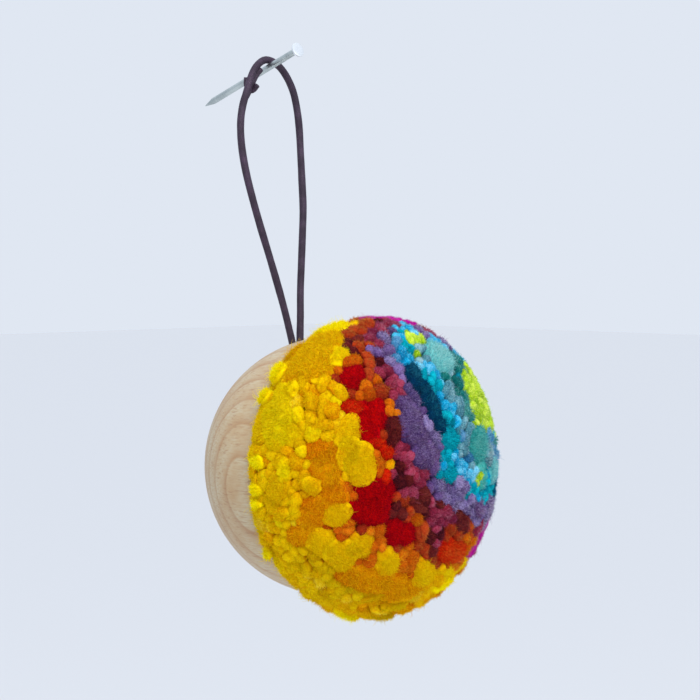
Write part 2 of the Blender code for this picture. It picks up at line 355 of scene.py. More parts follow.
class Dye(Enum):
    """The yarn colours that are wound into the pom pom."""

    # Each dye gives its cut tips, its deep colour, which its darker strands take and which is painted into
    # its creases and edges as shade, and its paler strands.
    CANARY = bath((244, 228, 0), (228, 190, 0), (250, 238, 16))
    LEMON = bath((228, 200, 0), (218, 168, 0), (238, 214, 8))
    YELLOW = bath((224, 184, 0), (208, 138, 0), (240, 208, 6))
    STRAW = bath((230, 196, 10), (216, 158, 0), (242, 214, 36), 0.8)
    GOLD = bath((224, 172, 0), (208, 126, 0), (238, 200, 4), 0.7)
    AMBER = bath((224, 148, 0), (196, 92, 0), (236, 180, 2), 0.8)
    MUSTARD = bath((206, 168, 0), (192, 122, 0), (226, 198, 8))
    ORANGE = bath((202, 92, 6), (158, 50, 4), (222, 132, 16), 0.7)
    RUST = bath((164, 46, 16), (108, 22, 14), (188, 70, 28), 0.7)
    SCARLET = bath((200, 24, 2), (136, 8, 4), (220, 56, 16), 0.7)
    RED = bath((174, 1, 8), (112, 0, 10), (210, 6, 4), 0.8)
    MAROON = bath((80, 17, 20), (38, 8, 18), (118, 38, 32), 0.8)
    RASPBERRY = bath((136, 32, 54), (78, 16, 38), (166, 64, 92), 0.8)
    MAGENTA = bath((168, 6, 126), (108, 2, 82), (192, 50, 152))
    PURPLE = bath((98, 70, 128), (50, 30, 74), (140, 114, 172), 0.8)
    LILAC = bath((96, 80, 132), (48, 34, 80), (156, 138, 188), 0.9)
    NAVY = bath((2, 48, 84), (0, 26, 52), (22, 90, 120), 0.7)
    STEEL = bath((44, 116, 162), (16, 64, 108), (104, 166, 202), 0.7)
    TEAL = bath((0, 146, 164), (0, 88, 110), (8, 184, 200), 0.8)
    SKY = bath((30, 158, 200), (0, 92, 138), (136, 208, 228), 0.9)
    AQUA = bath((6, 156, 200), (0, 98, 146), (96, 196, 222), 0.8)
    SEAFOAM = bath((112, 202, 200), (34, 142, 150), (160, 220, 216), 0.6)
    JADE = bath((46, 168, 160), (6, 106, 112), (96, 194, 188), 0.6)
    PINE = bath((10, 104, 100), (2, 54, 62), (80, 156, 150), 0.8)
    MIST = bath((88, 146, 160), (32, 86, 104), (160, 196, 202), 0.9)
    LIME = bath((174, 204, 32), (92, 138, 16), (218, 228, 94), 0.9)

    @property
    def number(self) -> int:
        """Its place among the dyes."""
        return list(Dye).index(self)


# What a thin strand may be swapped for, because colours stray a little as they are wound
STRAYS: dict[Dye, tuple[Dye, ...]] = {
    Dye.YELLOW: (Dye.LEMON, Dye.STRAW, Dye.GOLD, Dye.STRAW),
    Dye.GOLD: (Dye.YELLOW, Dye.AMBER, Dye.STRAW),
    Dye.AMBER: (Dye.GOLD, Dye.ORANGE),
    Dye.MUSTARD: (Dye.YELLOW, Dye.GOLD, Dye.STRAW),
    Dye.ORANGE: (Dye.RUST,),
    Dye.RUST: (Dye.MAROON, Dye.ORANGE, Dye.RASPBERRY),
    Dye.MAROON: (Dye.RUST, Dye.RASPBERRY),
    Dye.RASPBERRY: (Dye.MAROON, Dye.RASPBERRY),
    Dye.PURPLE: (Dye.LILAC,),
    Dye.LILAC: (Dye.PURPLE,),
    Dye.TEAL: (Dye.AQUA, Dye.PINE),
    Dye.SKY: (Dye.TEAL, Dye.AQUA),
    Dye.MIST: (Dye.SEAFOAM, Dye.STEEL),
    Dye.PINE: (Dye.TEAL, Dye.MIST),
}


@dataclass(frozen=True)
class TurnedWood:
    """Pale turned wood, with soft growth rings round a pith line that runs from front to back.

    The rings widen towards the pith, and each darkens slowly and ends in a crisp pale edge.
    Streaks and pores have their repeats to a metre, and how much these are stretched along the grain.
    """

    pith: Point = (23.1 * MM, -35.0 * MM, -100.1 * MM)
    pith_tilt: float = math.radians(-8.6)
    last_ring: float = 57.9 * MM
    ring_width: float = 1.35 * MM
    ring_growth: float = 0.17 * MM
    wander: float = 0.3 * MM
    light: Colour = linear(184, 170, 140)
    late: Colour = linear(158, 114, 72)
    warm: Colour = linear(174, 142, 102)
    pore: Colour = linear(146, 98, 62)
    streaks: Pair = (2300.0, 0.16)
    pores: Pair = (2100.0, 0.08)
    relief: Pair = (0.05 * MM, 0.35)

    def material(self) -> Material:
        """Makes the bare sanded wood.

        Returns:
            The material.
        """
        material, bench = new_finish("pale_turned_wood")
        place = bench.place()
        late = self._rings(bench, place)
        streaks = self._streaks(bench, place, *self.streaks)
        pores = bench.spread(self._streaks(bench, place, *self.pores), 0.56, 0.68, 0.0, 0.55)
        blush = bench.spread(bench.noise(place, 110.0, 3.0), 0.4, 0.7, 0.0, 0.9)
        ground = bench.blend(blush, self.light, self.warm)
        faded = bench.spread(bench.noise(place, 160.0), 0.3, 0.7, 0.5, 0.9)
        ringed = bench.blend(bench.maths("MULTIPLY", late, faded), ground, self.late)
        grained = bench.blend(bench.spread(streaks, 0.42, 0.7, 0.0, 0.7), ringed, self.warm)
        pored = bench.blend(pores, grained, self.pore)
        height = bench.maths("SUBTRACT", bench.maths("MULTIPLY", late, 0.5), streaks)
        bench.surface(pored, bench.spread(streaks, 0.3, 0.8, 0.45, 0.6), height, self.relief)
        return material

    def _rings(self, bench: NodeBench, place: NodeSocket) -> NodeSocket:
        """How late in its year the wood is."""
        tilt, along = (self.pith_tilt, 0.0, 0.0), (1.0, 30.0, 1.0)
        inputs = {"Vector": place, "Location": self.pith, "Rotation": tilt, "Scale": along}
        from_pith = bench.add("ShaderNodeMapping", inputs, vector_type="TEXTURE").outputs[0]
        wander = bench.noise(from_pith, 70.0, 3.0, 0.45)
        radius = bench.add("ShaderNodeVectorMath", {0: from_pith}, operation="LENGTH").outputs["Value"]
        shift = bench.maths("MULTIPLY_ADD", wander, -2 * self.wander, self.wander + self.last_ring)
        inward = bench.maths("SUBTRACT", shift, radius)
        width, growth = self.ring_width / MM, self.ring_growth / MM
        root = bench.maths("SQRT", bench.maths("MULTIPLY_ADD", inward, 4 * growth / MM, width**2))
        year = bench.maths("MULTIPLY_ADD", root, 0.5 / growth, 100 - 0.5 * width / growth)
        season = bench.maths("SUBTRACT", 1.0, bench.maths("FRACT", year))
        rise = bench.maths("POWER", bench.spread(season, 0.35, 0.93, 0.0, 1.0), 2.6)
        return bench.maths("MULTIPLY", rise, bench.spread(season, 0.94, 1.0, 1.0, 0.2))

    def _streaks(self, bench: NodeBench, place: NodeSocket, scale: float, stretch: float) -> NodeSocket:
        """Fine fibre streaks along the grain, from front to back."""
        return bench.noise(bench.stretched(place, (1.0, stretch, 1.0)), scale, 3.0, 0.6)


@dataclass(frozen=True)
class CordLeather:
    """Dark plum-brown leather with fine creases across the cord and rubbed high spots."""

    dark: Colour = linear(31, 13, 35)
    rubbed: Colour = linear(64, 36, 68)
    crease_size: float = 0.5 * MM
    relief: Pair = (0.06 * MM, 0.7)

    def material(self) -> Material:
        """Makes the leather.

        Returns:
            The material.
        """
        material, bench = new_finish("dark_cord_leather")
        place = bench.place()
        cells = {"Vector": place, "Scale": 1 / self.crease_size}
        creases = bench.add("ShaderNodeTexVoronoi", cells, feature="DISTANCE_TO_EDGE").outputs["Distance"]
        folds = bench.spread(creases, 0.0, 0.16, 0.0, 1.0)
        patches = bench.noise(place, 300.0, 3.0)
        rub = bench.maths("MULTIPLY", bench.spread(patches, 0.4, 0.7, 0.1, 0.8), folds)
        rough = bench.spread(patches, 0.3, 0.7, 0.72, 0.5)
        bench.surface(bench.blend(rub, self.dark, self.rubbed), rough, folds, self.relief)
        return material


@dataclass(frozen=True)
class ZincSteel:
    """Zinc-coated wire steel: a dull shank with faint drawing marks, and a head painted brighter as a
    highlight.
    """

    axis: Point
    neck: float
    bright: Colour = (0.78, 0.81, 0.84)
    shank: Colour = (0.5, 0.56, 0.56)
    dull: Colour = (0.36, 0.41, 0.42)
    relief: Pair = (0.004 * MM, 0.1)

    def material(self) -> Material:
        """Makes the steel.

        Returns:
            The material.
        """
        material, bench = new_finish("bright_zinc_steel")
        place = bench.place()
        lines = bench.noise(bench.stretched(place, (1.0, 0.08, 0.2)), 2400.0)
        clouds = bench.noise(place, 260.0)
        wire = bench.blend(bench.spread(clouds, 0.35, 0.7, 0.0, 1.0), self.shank, self.dull)
        both = {0: place, 1: self.axis}
        up = bench.add("ShaderNodeVectorMath", both, operation="DOT_PRODUCT").outputs["Value"]
        # The head takes the brighter colour, as a painted highlight.
        head = bench.spread(up, self.neck - 0.3 * MM, self.neck, 0.0, 1.0)
        rough = bench.spread(bench.maths("ADD", lines, clouds), 0.7, 1.3, 0.3, 0.4)
        bench.surface(bench.blend(head, wire, self.bright), rough, lines, self.relief, Metallic=1.0)
        return material


# ---- Meshes ----


def new_piece(name: str, mesh: Mesh, material: Material | None) -> Object:
    """Puts a mesh into the scene as an object at the origin.

    Args:
        name: The piece's name.
        mesh: Its mesh, already in place.
        material: Its finish, or None if it has one.

    Returns:
        The object.
    """
    piece = bpy.data.objects.new(name, mesh)
    bpy.context.scene.collection.objects.link(piece)
    if material is not None:
        mesh.materials.clear()
        mesh.materials.append(material)
    return piece


def fit(piece: Object, slot: str, *nodes: str) -> Object:
    """Rides a piece on the object's one body and stands it in for CAD nodes.

    Args:
        piece: The piece.
        slot: The record's material slot; not used.
        nodes: The CAD nodes that it stands for.

    Returns:
        The piece.
    """
    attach(piece, "root")
    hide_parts(*nodes)
    return piece


def made_plain(piece: Object) -> Object:
    """Replaces a piece's mesh with its evaluated one and drops its modifiers.

    Args:
        piece: The piece.

    Returns:
        The same piece.
    """
    graph = bpy.context.evaluated_depsgraph_get()
    graph.update()
    mesh = bpy.data.meshes.new_from_object(
        piece.evaluated_get(graph), preserve_all_data_layers=True, depsgraph=graph
    )
    piece.modifiers.clear()
    piece.data = mesh
    mesh.name = piece.name
    return piece


def smooth_mesh(mesh: Mesh, sharp_angle: float | None = None) -> Mesh:
    """Shades a mesh smooth, apart from edges sharper than an angle.

    Args:
        mesh: The mesh.
        sharp_angle: The angle in radians, or None for no sharp edge.

    Returns:
        The same mesh.
    """
    mesh.shade_smooth()
    if sharp_angle is not None:
        mesh.set_sharp_from_angle(angle=sharp_angle)
    return mesh


# Points between two stops of a route, and the least angle of an edge that shows on a tube
ROUTE_SAMPLES = 40
TUBE_EDGE = math.radians(60)


def smooth_route(route: Sequence[Sequence[float]], spacing: float) -> Array:
    """Evenly spaced points on a smooth curve through a route.

    Args:
        route: The route's points in millimetres.
        spacing: The distance between the points, in metres.

    Returns:
        The points in metres, one row each.
    """
    points = np.array(route, float) * MM
    padded = np.vstack([2 * points[0] - points[1], points, 2 * points[-1] - points[-2]])
    t = np.linspace(0, 1, ROUTE_SAMPLES, endpoint=False)[:, None]
    fine = []
    for before, start, end, after in zip(padded, padded[1:], padded[2:], padded[3:]):
        bend = 2 * before - 5 * start + 4 * end - after
        twist = 3 * start - before - 3 * end + after
        fine.append(0.5 * (2 * start + (end - before) * t + bend * t**2 + twist * t**3))
    curve = np.vstack([*fine, points[-1:]])
    lengths = np.concatenate([[0.0], np.cumsum(np.linalg.norm(np.diff(curve, axis=0), axis=1))])
    even = np.linspace(0.0, lengths[-1], round(lengths[-1] / spacing) + 1)
    return np.stack([np.interp(even, lengths, curve[:, i]) for i in range(3)], axis=1)


def ring_faces(rings: int, steps: int) -> list[tuple[int, int, int, int]]:
    """The quads between closed rings of points that lie one after another.

    Args:
        rings: How many rings there are.
        steps: How many points each ring has.

    Returns:
        The faces, which look outwards where rings run down an outer side.
    """
    faces = []
    for ring in range(rings - 1):
        for k in range(steps):
            low, high = ring * steps, (ring + 1) * steps
            after = (k + 1) % steps
            faces.append((low + k, high + k, high + after, low + after))
    return faces


def tube_mesh(name: str, points: Array, radii: Array, steps: int) -> Mesh:
    """A closed round tube along a line of points.

    Args:
        name: The mesh's name.
        points: The line's points in metres.
        radii: The tube's radius at each.
        steps: The faces round it.

    Returns:
        The mesh.
    """
    ahead = np.gradient(points, axis=0)
    ahead /= np.linalg.norm(ahead, axis=1)[:, None]
    side = Vector(ahead[0]).orthogonal().normalized()
    rings = []
    for point, way, radius in zip(points, ahead, radii):
        way = Vector(way)
        side = (side - way * side.dot(way)).normalized()
        other = way.cross(side)
        for k in range(steps):
            angle = -2 * math.pi * k / steps
            rings.append(Vector(point) + (side * math.cos(angle) + other * math.sin(angle)) * float(radius))
    faces = ring_faces(len(points), steps)
    faces.append(tuple(range(steps)))
    last = (len(points) - 1) * steps
    faces.append(tuple(last + k for k in reversed(range(steps))))
    mesh = bpy.data.meshes.new(name)
    mesh.from_pydata(rings, [], faces)
    return smooth_mesh(mesh, TUBE_EDGE)


def turned_mesh(name: str, profile: Sequence[Pair], steps: int, place: Matrix) -> Mesh:
    """A closed solid turned about local Z, from its top pole down its outer side to its lower pole.

    Args:
        name: The mesh's name.
        profile: Radius and height in metres, where the first and last radius is 0.
        steps: The faces round it.
        place: Where it goes.

    Returns:
        The mesh.
    """
    turn = [(math.cos(2 * math.pi * k / steps), math.sin(2 * math.pi * k / steps)) for k in range(steps)]
    inner = profile[1:-1]
    points = [(r * c, r * s, h) for r, h in inner for c, s in turn]
    faces = ring_faces(len(inner), steps)
    top, bottom = len(points), len(points) + 1
    last = (len(inner) - 1) * steps
    points += [(0.0, 0.0, profile[0][1]), (0.0, 0.0, profile[-1][1])]
    faces += [(top, k, (k + 1) % steps) for k in range(steps)]
    faces += [(bottom, last + (k + 1) % steps, last + k) for k in range(steps)]
    mesh = bpy.data.meshes.new(name)
    mesh.from_pydata([place @ Vector(p) for p in points], [], faces)
    return mesh


# ---- The wooden half ball ----

FRONTWARD = Matrix.Rotation(math.radians(90), 4, "X")


@dataclass
class HalfBall:
    """The turned half ball: flat face to the front, round back, and the cord's drilled hole.

    Its face has rings of points at shares of its radius, and its broken edge at angles in degrees.
    """

    radius: float = 35.0 * MM
    centre: Point = (0.0, -35.0 * MM, -104.5 * MM)
    cut: float = 3.5 * MM
    edge: float = 0.8 * MM
    hole_radius: float = 2.65 * MM
    hole_depth: float = 12.0 * MM
    hole_y: float = -20.5 * MM
    hole_rim: float = 0.25 * MM
    rim_above: float = 0.7 * MM
    rim_below: float = 0.9 * MM
    hole_corner: float = 0.4 * MM
    drill_overshoot: float = 6.0 * MM
    drill_steps: int = 64
    face_rings: tuple[float, ...] = (0.3, 0.6, 0.85, 1.0)
    edge_turns: tuple[float, ...] = (70.0, 50.0, 30.0)
    steps: int = 192
    arc_points: int = 56
    sharp_angle: float = math.radians(28)
    finish: TurnedWood = field(default_factory=TurnedWood)

    def profile(self) -> list[Pair]:
        """Radius and height from the flat face's middle, round the broken edge, to the back."""
        face = math.sqrt(self.radius**2 - self.cut**2)
        start = math.asin((self.cut - self.edge) / self.radius)
        outline = [(0.0, self.cut)]
        outline += [((face - self.edge) * share, self.cut) for share in self.face_rings]
        for angle in map(math.radians, self.edge_turns):
            across, down = self.edge * (1 - math.cos(angle)), self.edge * (1 - math.sin(angle))
            outline.append((face - across, self.cut - down))
        for k in range(self.arc_points):
            angle = start + (-math.pi / 2 - start) * k / (self.arc_points - 1)
            outline.append((self.radius * math.cos(angle), self.radius * math.sin(angle)))
        outline[-1] = (0.0, -self.radius)
        return outline

    def drill(self) -> Object:
        """The shape of the hole, with its eased rim, for cutting."""
        behind = self.hole_y - self.centre[1]
        mouth = self.centre[2] + math.sqrt(self.radius**2 - behind**2)
        low, high = mouth - self.hole_depth, mouth + self.drill_overshoot
        outline = [
            (0.0, high),
            (self.hole_radius + self.hole_rim, high),
            (self.hole_radius + self.hole_rim, mouth + self.rim_above),
            (self.hole_radius, mouth - self.rim_below),
            (self.hole_radius, low + self.hole_corner),
            (self.hole_radius - self.hole_corner, low),
            (0.0, low),
        ]
        place = Matrix.Translation((0.0, self.hole_y, 0.0))
        mesh = turned_mesh("cord_hole_drill", outline, self.drill_steps, place)
        return new_piece("cord_hole_drill", mesh, None)

    def build(self) -> Object:
        """Turns, drills and finishes the half ball.

        Returns:
            The piece.
        """
        place = Matrix.Translation(self.centre) @ FRONTWARD
        mesh = turned_mesh("turned_half_ball", self.profile(), self.steps, place)
        ball = new_piece("turned_half_ball", mesh, self.finish.material())
        drill = self.drill()
        cut = ball.modifiers.new("drill", "BOOLEAN")
        cut.operation, cut.solver, cut.object = "DIFFERENCE", "EXACT", drill
        made_plain(ball)
        bpy.data.objects.remove(drill)
        smooth_mesh(ball.data, self.sharp_angle)
        return fit(ball, "wood", "wooden_half_ball")


# ---- The cord, its knot and the nail ----


@dataclass
class HangingCord:
    """The round leather loop, both ends in the half ball's hole, its doubled end and its cut tail."""

    diameter: float = 2.0 * MM
    tail_diameter: float = 1.6 * MM
    doubled_diameter: float = 1.7 * MM
    length: float = 0.1913
    spacing: float = 0.9 * MM
    end_spacing: float = 0.4 * MM
    steps: int = 20
    uneven: float = 0.025
    most_uneven: float = 1.2
    lump_window: int = 9
    seed: int = 11
    finish: CordLeather = field(default_factory=CordLeather)
    route: tuple[Point, ...] = (
        (-1.25, -20.5, -83.2), (-1.25, -20.5, -78.0), (-1.35, -20.5, -73.0),
        (-2.15, -19.85, -68.0), (-3.40, -19.05, -62.0), (-5.10, -18.05, -55.0),
        (-7.10, -17.00, -47.5), (-9.20, -15.95, -40.0), (-11.10, -14.90, -32.5),
        (-12.55, -13.75, -25.0), (-13.15, -12.70, -18.0), (-12.75, -11.85, -12.0),
        (-11.20, -11.00, -7.2), (-8.70, -10.20, -2.6), (-6.60, -9.60, 1.2),
        (-3.90, -9.05, 4.2), (-0.30, -8.80, 5.85), (3.70, -9.05, 4.6), (6.50, -9.60, 1.7),
        (8.55, -10.30, -2.6), (9.35, -11.05, -7.6), (9.45, -11.85, -13.0),
        (9.00, -12.85, -20.0), (8.45, -13.95, -27.5), (7.80, -15.05, -35.0),
        (6.45, -16.15, -42.5), (5.00, -17.25, -50.0), (3.55, -18.35, -57.5),
        (2.60, -19.30, -64.5), (1.75, -20.05, -69.5), (1.32, -20.5, -73.6),
        (1.25, -20.5, -78.0), (1.25, -20.5, -83.2),
    )
    tail: tuple[Point, ...] = (
        (-7.10, -8.35, 0.85), (-7.15, -8.30, -1.10), (-6.75, -8.90, -2.60),
        (-6.15, -9.90, -2.55), (-5.80, -11.10, -1.30),
    )
    doubled: tuple[Point, ...] = (
        (-2.85, -9.25, 3.10), (-4.20, -9.25, 1.85), (-5.45, -9.35, 0.30),
        (-6.50, -9.50, -1.35), (-7.35, -9.40, -3.00), (-8.00, -8.95, -4.60),
    )

    def strand(self, name: str, points: Array, diameter: float, leather: Material) -> Object:
        """A slightly uneven leather tube along a line of points.

        Args:
            name: The piece's name.
            points: The line's points in metres.
            diameter: Its mean diameter.
            leather: Its finish.

        Returns:
            The object.
        """
        draw, window = np.random.default_rng(self.seed), self.lump_window
        noise = draw.normal(size=len(points) + window - 1)
        lumps = np.convolve(noise, np.ones(window) / math.sqrt(window), "valid")
        radii = diameter / 2 * (1 + self.uneven * np.clip(lumps, -self.most_uneven, self.most_uneven))
        return new_piece(name, tube_mesh(name, points, radii, self.steps), leather)

    def build(self) -> Object:
        """Returns:
            The loop.
        """
        leather = self.finish.material()
        points = smooth_route(self.route, self.spacing)
        loop = self.strand("leather_cord_loop", points, self.diameter, leather)
        fit(loop, "leather", "hanging_cord")
        ends = (
            ("cut_cord_tail", self.tail, self.tail_diameter),
            ("doubled_cord_end", self.doubled, self.doubled_diameter),
        )
        tail, laid = (
            self.strand(name, smooth_route(route, self.end_spacing), diameter, leather)
            for name, route, diameter in ends
        )
        for end in (tail, laid):
            fit(end, "leather", "cord_knot")
        return loop


@dataclass
class WireNail:
    """The slanted wire nail: flat head, grip marks below it and a diamond point in the wall."""

    tilt: float = math.radians(21.3)
    length: float = 40.0 * MM
    outside: float = 22.8 * MM
    radius: float = 0.9 * MM
    head_radius: float = 2.0 * MM
    head_thickness: float = 0.7 * MM
    head_edge: float = 0.12 * MM
    point_length: float = 3.6 * MM
    point_radius: float = 0.12 * MM
    grip_marks: int = 4
    grip_pitch: float = 0.75 * MM
    grip_start: float = 1.2 * MM
    grip_slope: float = 0.12 * MM
    grip_floor: float = 0.14 * MM
    grip_depth: float = 0.02 * MM
    head_crown: float = 0.03 * MM
    neck_flare: float = 0.35 * MM
    neck_drop: float = 0.25 * MM
    steps: int = 64
    sharp_angle: float = math.radians(35)

    def profile(self) -> list[Pair]:
        """Radius and height from the head's middle down to the point."""
        top = self.outside
        neck = top - self.head_thickness
        outline = [
            (0.0, top + self.head_crown),
            (self.head_radius * 0.5, top + self.head_crown * 2 / 3),
            (self.head_radius - 2 * self.head_edge, top),
            (self.head_radius - 0.3 * self.head_edge, top - 0.4 * self.head_edge),
            (self.head_radius, top - self.head_edge),
            (self.head_radius, neck + 2 * self.head_edge),
            (self.head_radius - self.head_edge, neck + 0.5 * self.head_edge),
            (self.radius + self.neck_flare, neck),
            (self.radius, neck - self.neck_drop),
        ]
        for mark in range(self.grip_marks):
            start = neck - self.grip_start - mark * self.grip_pitch
            floor_start = start - self.grip_slope
            floor_end = floor_start - self.grip_floor
            outline += [
                (self.radius, start),
                (self.radius - self.grip_depth, floor_start),
                (self.radius - self.grip_depth, floor_end),
                (self.radius, floor_end - self.grip_slope),
            ]
        end = top - self.length
        outline += [(self.radius, end + self.point_length), (self.point_radius, end), (0.0, end)]
        return outline

    def build(self) -> Object:
        """Forges the nail.

        Returns:
            The piece.
        """
        slant = Matrix.Rotation(math.pi / 2 - self.tilt, 4, "X")
        mesh = turned_mesh("bright_wire_nail", self.profile(), self.steps, slant)
        smooth_mesh(mesh, self.sharp_angle)
        steel = ZincSteel(tuple(slant @ Vector((0.0, 0.0, 1.0))), self.outside - self.head_thickness)
        return fit(new_piece("bright_wire_nail", mesh, steel.material()), "steel", "wall_nail")


# ---- The pom pom ----


@dataclass(frozen=True)
class TrimmedBun:
    """The trimmed surface of the pom pom: a dome over a waist, drawn in to a foot on the wood.

    Its own millimetres run right, up and forward from the middle of the ball. A place on it
    is also given on a flat map: (u, v) lies at its distance along the meridian from the
    front pole, in its direction round the axis.
    """

    centre: Point = (0.7, -35.0, -104.1)
    radius: float = 40.4
    waist: float = 15.0
    height: float = 39.3
    foot_radius: float = 35.3
    foot: float = 3.9
    flank_end: float = math.radians(-45)
    tie: float = 9.5
    rim_start: float = 54.0
    rim_width: float = 8.0
    dome_steps: int = 400
    flank_steps: int = 200

    @cached_property
    def meridian(self) -> Array:
        """Radius, height, arc length, angle from the axis and reach from the tie, one row a point."""
        up, rise = np.linspace(math.pi / 2, 0.0, self.dome_steps), self.height - self.waist
        dome = np.stack([self.radius * np.cos(up), self.waist + rise * np.sin(up)], 1)
        curl = (self.radius - self.foot_radius) / (1 - math.cos(self.flank_end))
        drop = (self.waist - self.foot) / math.sin(-self.flank_end)
        down = np.linspace(0.0, self.flank_end, self.flank_steps)[1:]
        flank = np.stack([self.radius - curl + curl * np.cos(down), self.waist + drop * np.sin(down)], 1)
        line = np.vstack([dome, flank])
        length = np.concatenate([[0.0], np.cumsum(np.hypot(*np.diff(line, axis=0).T))])
        angle = np.arctan2(line[:, 0], line[:, 1] - self.tie)
        reach = np.hypot(line[:, 0], line[:, 1] - self.tie)
        return np.column_stack([line, length, angle, reach])

    def place(self, u: Array, v: Array) -> Array:
        """Points on the surface for places on the flat map."""
        table = self.meridian
        length, round_axis = np.hypot(u, v), np.arctan2(v, u)
        radius = np.interp(length, table[:, 2], table[:, 0])
        height = np.interp(length, table[:, 2], table[:, 1])
        return np.stack([radius * np.cos(round_axis), radius * np.sin(round_axis), height], -1)

    def outward(self, points: Array) -> Array:
        """Unit directions in which strands fan out from the tie to points."""
        rays = points - np.array([0.0, 0.0, self.tie])
        return rays / np.linalg.norm(rays, axis=-1, keepdims=True)

    @staticmethod
    def off_axis(rays: Array) -> Array:
        """The angles between directions and straight ahead."""
        return np.arctan2(np.hypot(rays[..., 0], rays[..., 1]), rays[..., 2])

    def sink(self, rays: Array, depth: Any) -> Array:
        """Points at a depth under the surface, along directions from the tie."""
        table = self.meridian
        reach = np.interp(self.off_axis(rays), table[:, 3], table[:, 4]) - depth
        return rays * reach[..., None] + np.array([0.0, 0.0, self.tie])

    def flat(self, points: Array) -> Array:
        """Places on the flat map of points near the surface."""
        table = self.meridian
        length = np.interp(self.off_axis(self.outward(points)), table[:, 3], table[:, 2])
        round_axis = np.arctan2(points[..., 1], points[..., 0])
        return np.stack([length * np.cos(round_axis), length * np.sin(round_axis)], -1)

    def length(self, points: Array) -> Array:
        """How far along the meridian points near the surface lie from the front pole."""
        return np.hypot(*np.moveaxis(self.flat(points), -1, 0))

    def near_rim(self, length: Array) -> Array:
        """How near the rim places lie, from 0 to 1, by how far along the meridian they are."""
        return np.clip((length - self.rim_start) / self.rim_width, 0, 1)

    def scatter(self, draw: np.random.Generator, count: int) -> Array:
        """Random points, even over the surface's area."""
        table = self.meridian
        area = np.cumsum(table[:, 0] * np.gradient(table[:, 2]))
        length = np.interp(draw.random(count) * area[-1], area, table[:, 2])
        turn = draw.random(count) * 2 * math.pi
        return self.place(length * np.cos(turn), length * np.sin(turn))

    def world(self, points: Array) -> Array:
        """The same points in the model's metres."""
        middle = np.array(self.centre)
        return (middle + np.stack([points[..., 0], -points[..., 2], points[..., 1]], -1)) * MM


@dataclass(frozen=True)
class Roving:
    """A thick soft strand whose cut end shows as one wide smooth patch, placed on the flat map."""

    dye: Dye
    u: float
    v: float
    half_long: float
    half_wide: float
    turn: float = 0.0
    lift: float = 0.0
    nap: float = 1.0


@dataclass(frozen=True)
class Run:
    """A run of thin strands of one colour along stops on the flat map."""

    dye: Dye
    stops: tuple[Pair, ...]

    def distance(self, places: Array) -> Array:
        """How far places on the flat map lie from the run."""
        stops = np.array(self.stops, float)
        nearest = np.full(len(places), np.inf)
        for start, end in zip(stops, stops[1:]):
            way = end - start
            share = np.clip((places - start) @ way / max(way @ way, 1e-9), 0.0, 1.0)
            gap = np.linalg.norm(places - start - share[:, None] * way, axis=1)
            nearest = np.minimum(nearest, gap)
        return nearest


C, L, Y, G, A, M = Dye.CANARY, Dye.LEMON, Dye.YELLOW, Dye.GOLD, Dye.AMBER, Dye.MUSTARD
O, R, S = Dye.ORANGE, Dye.RUST, Dye.SCARLET

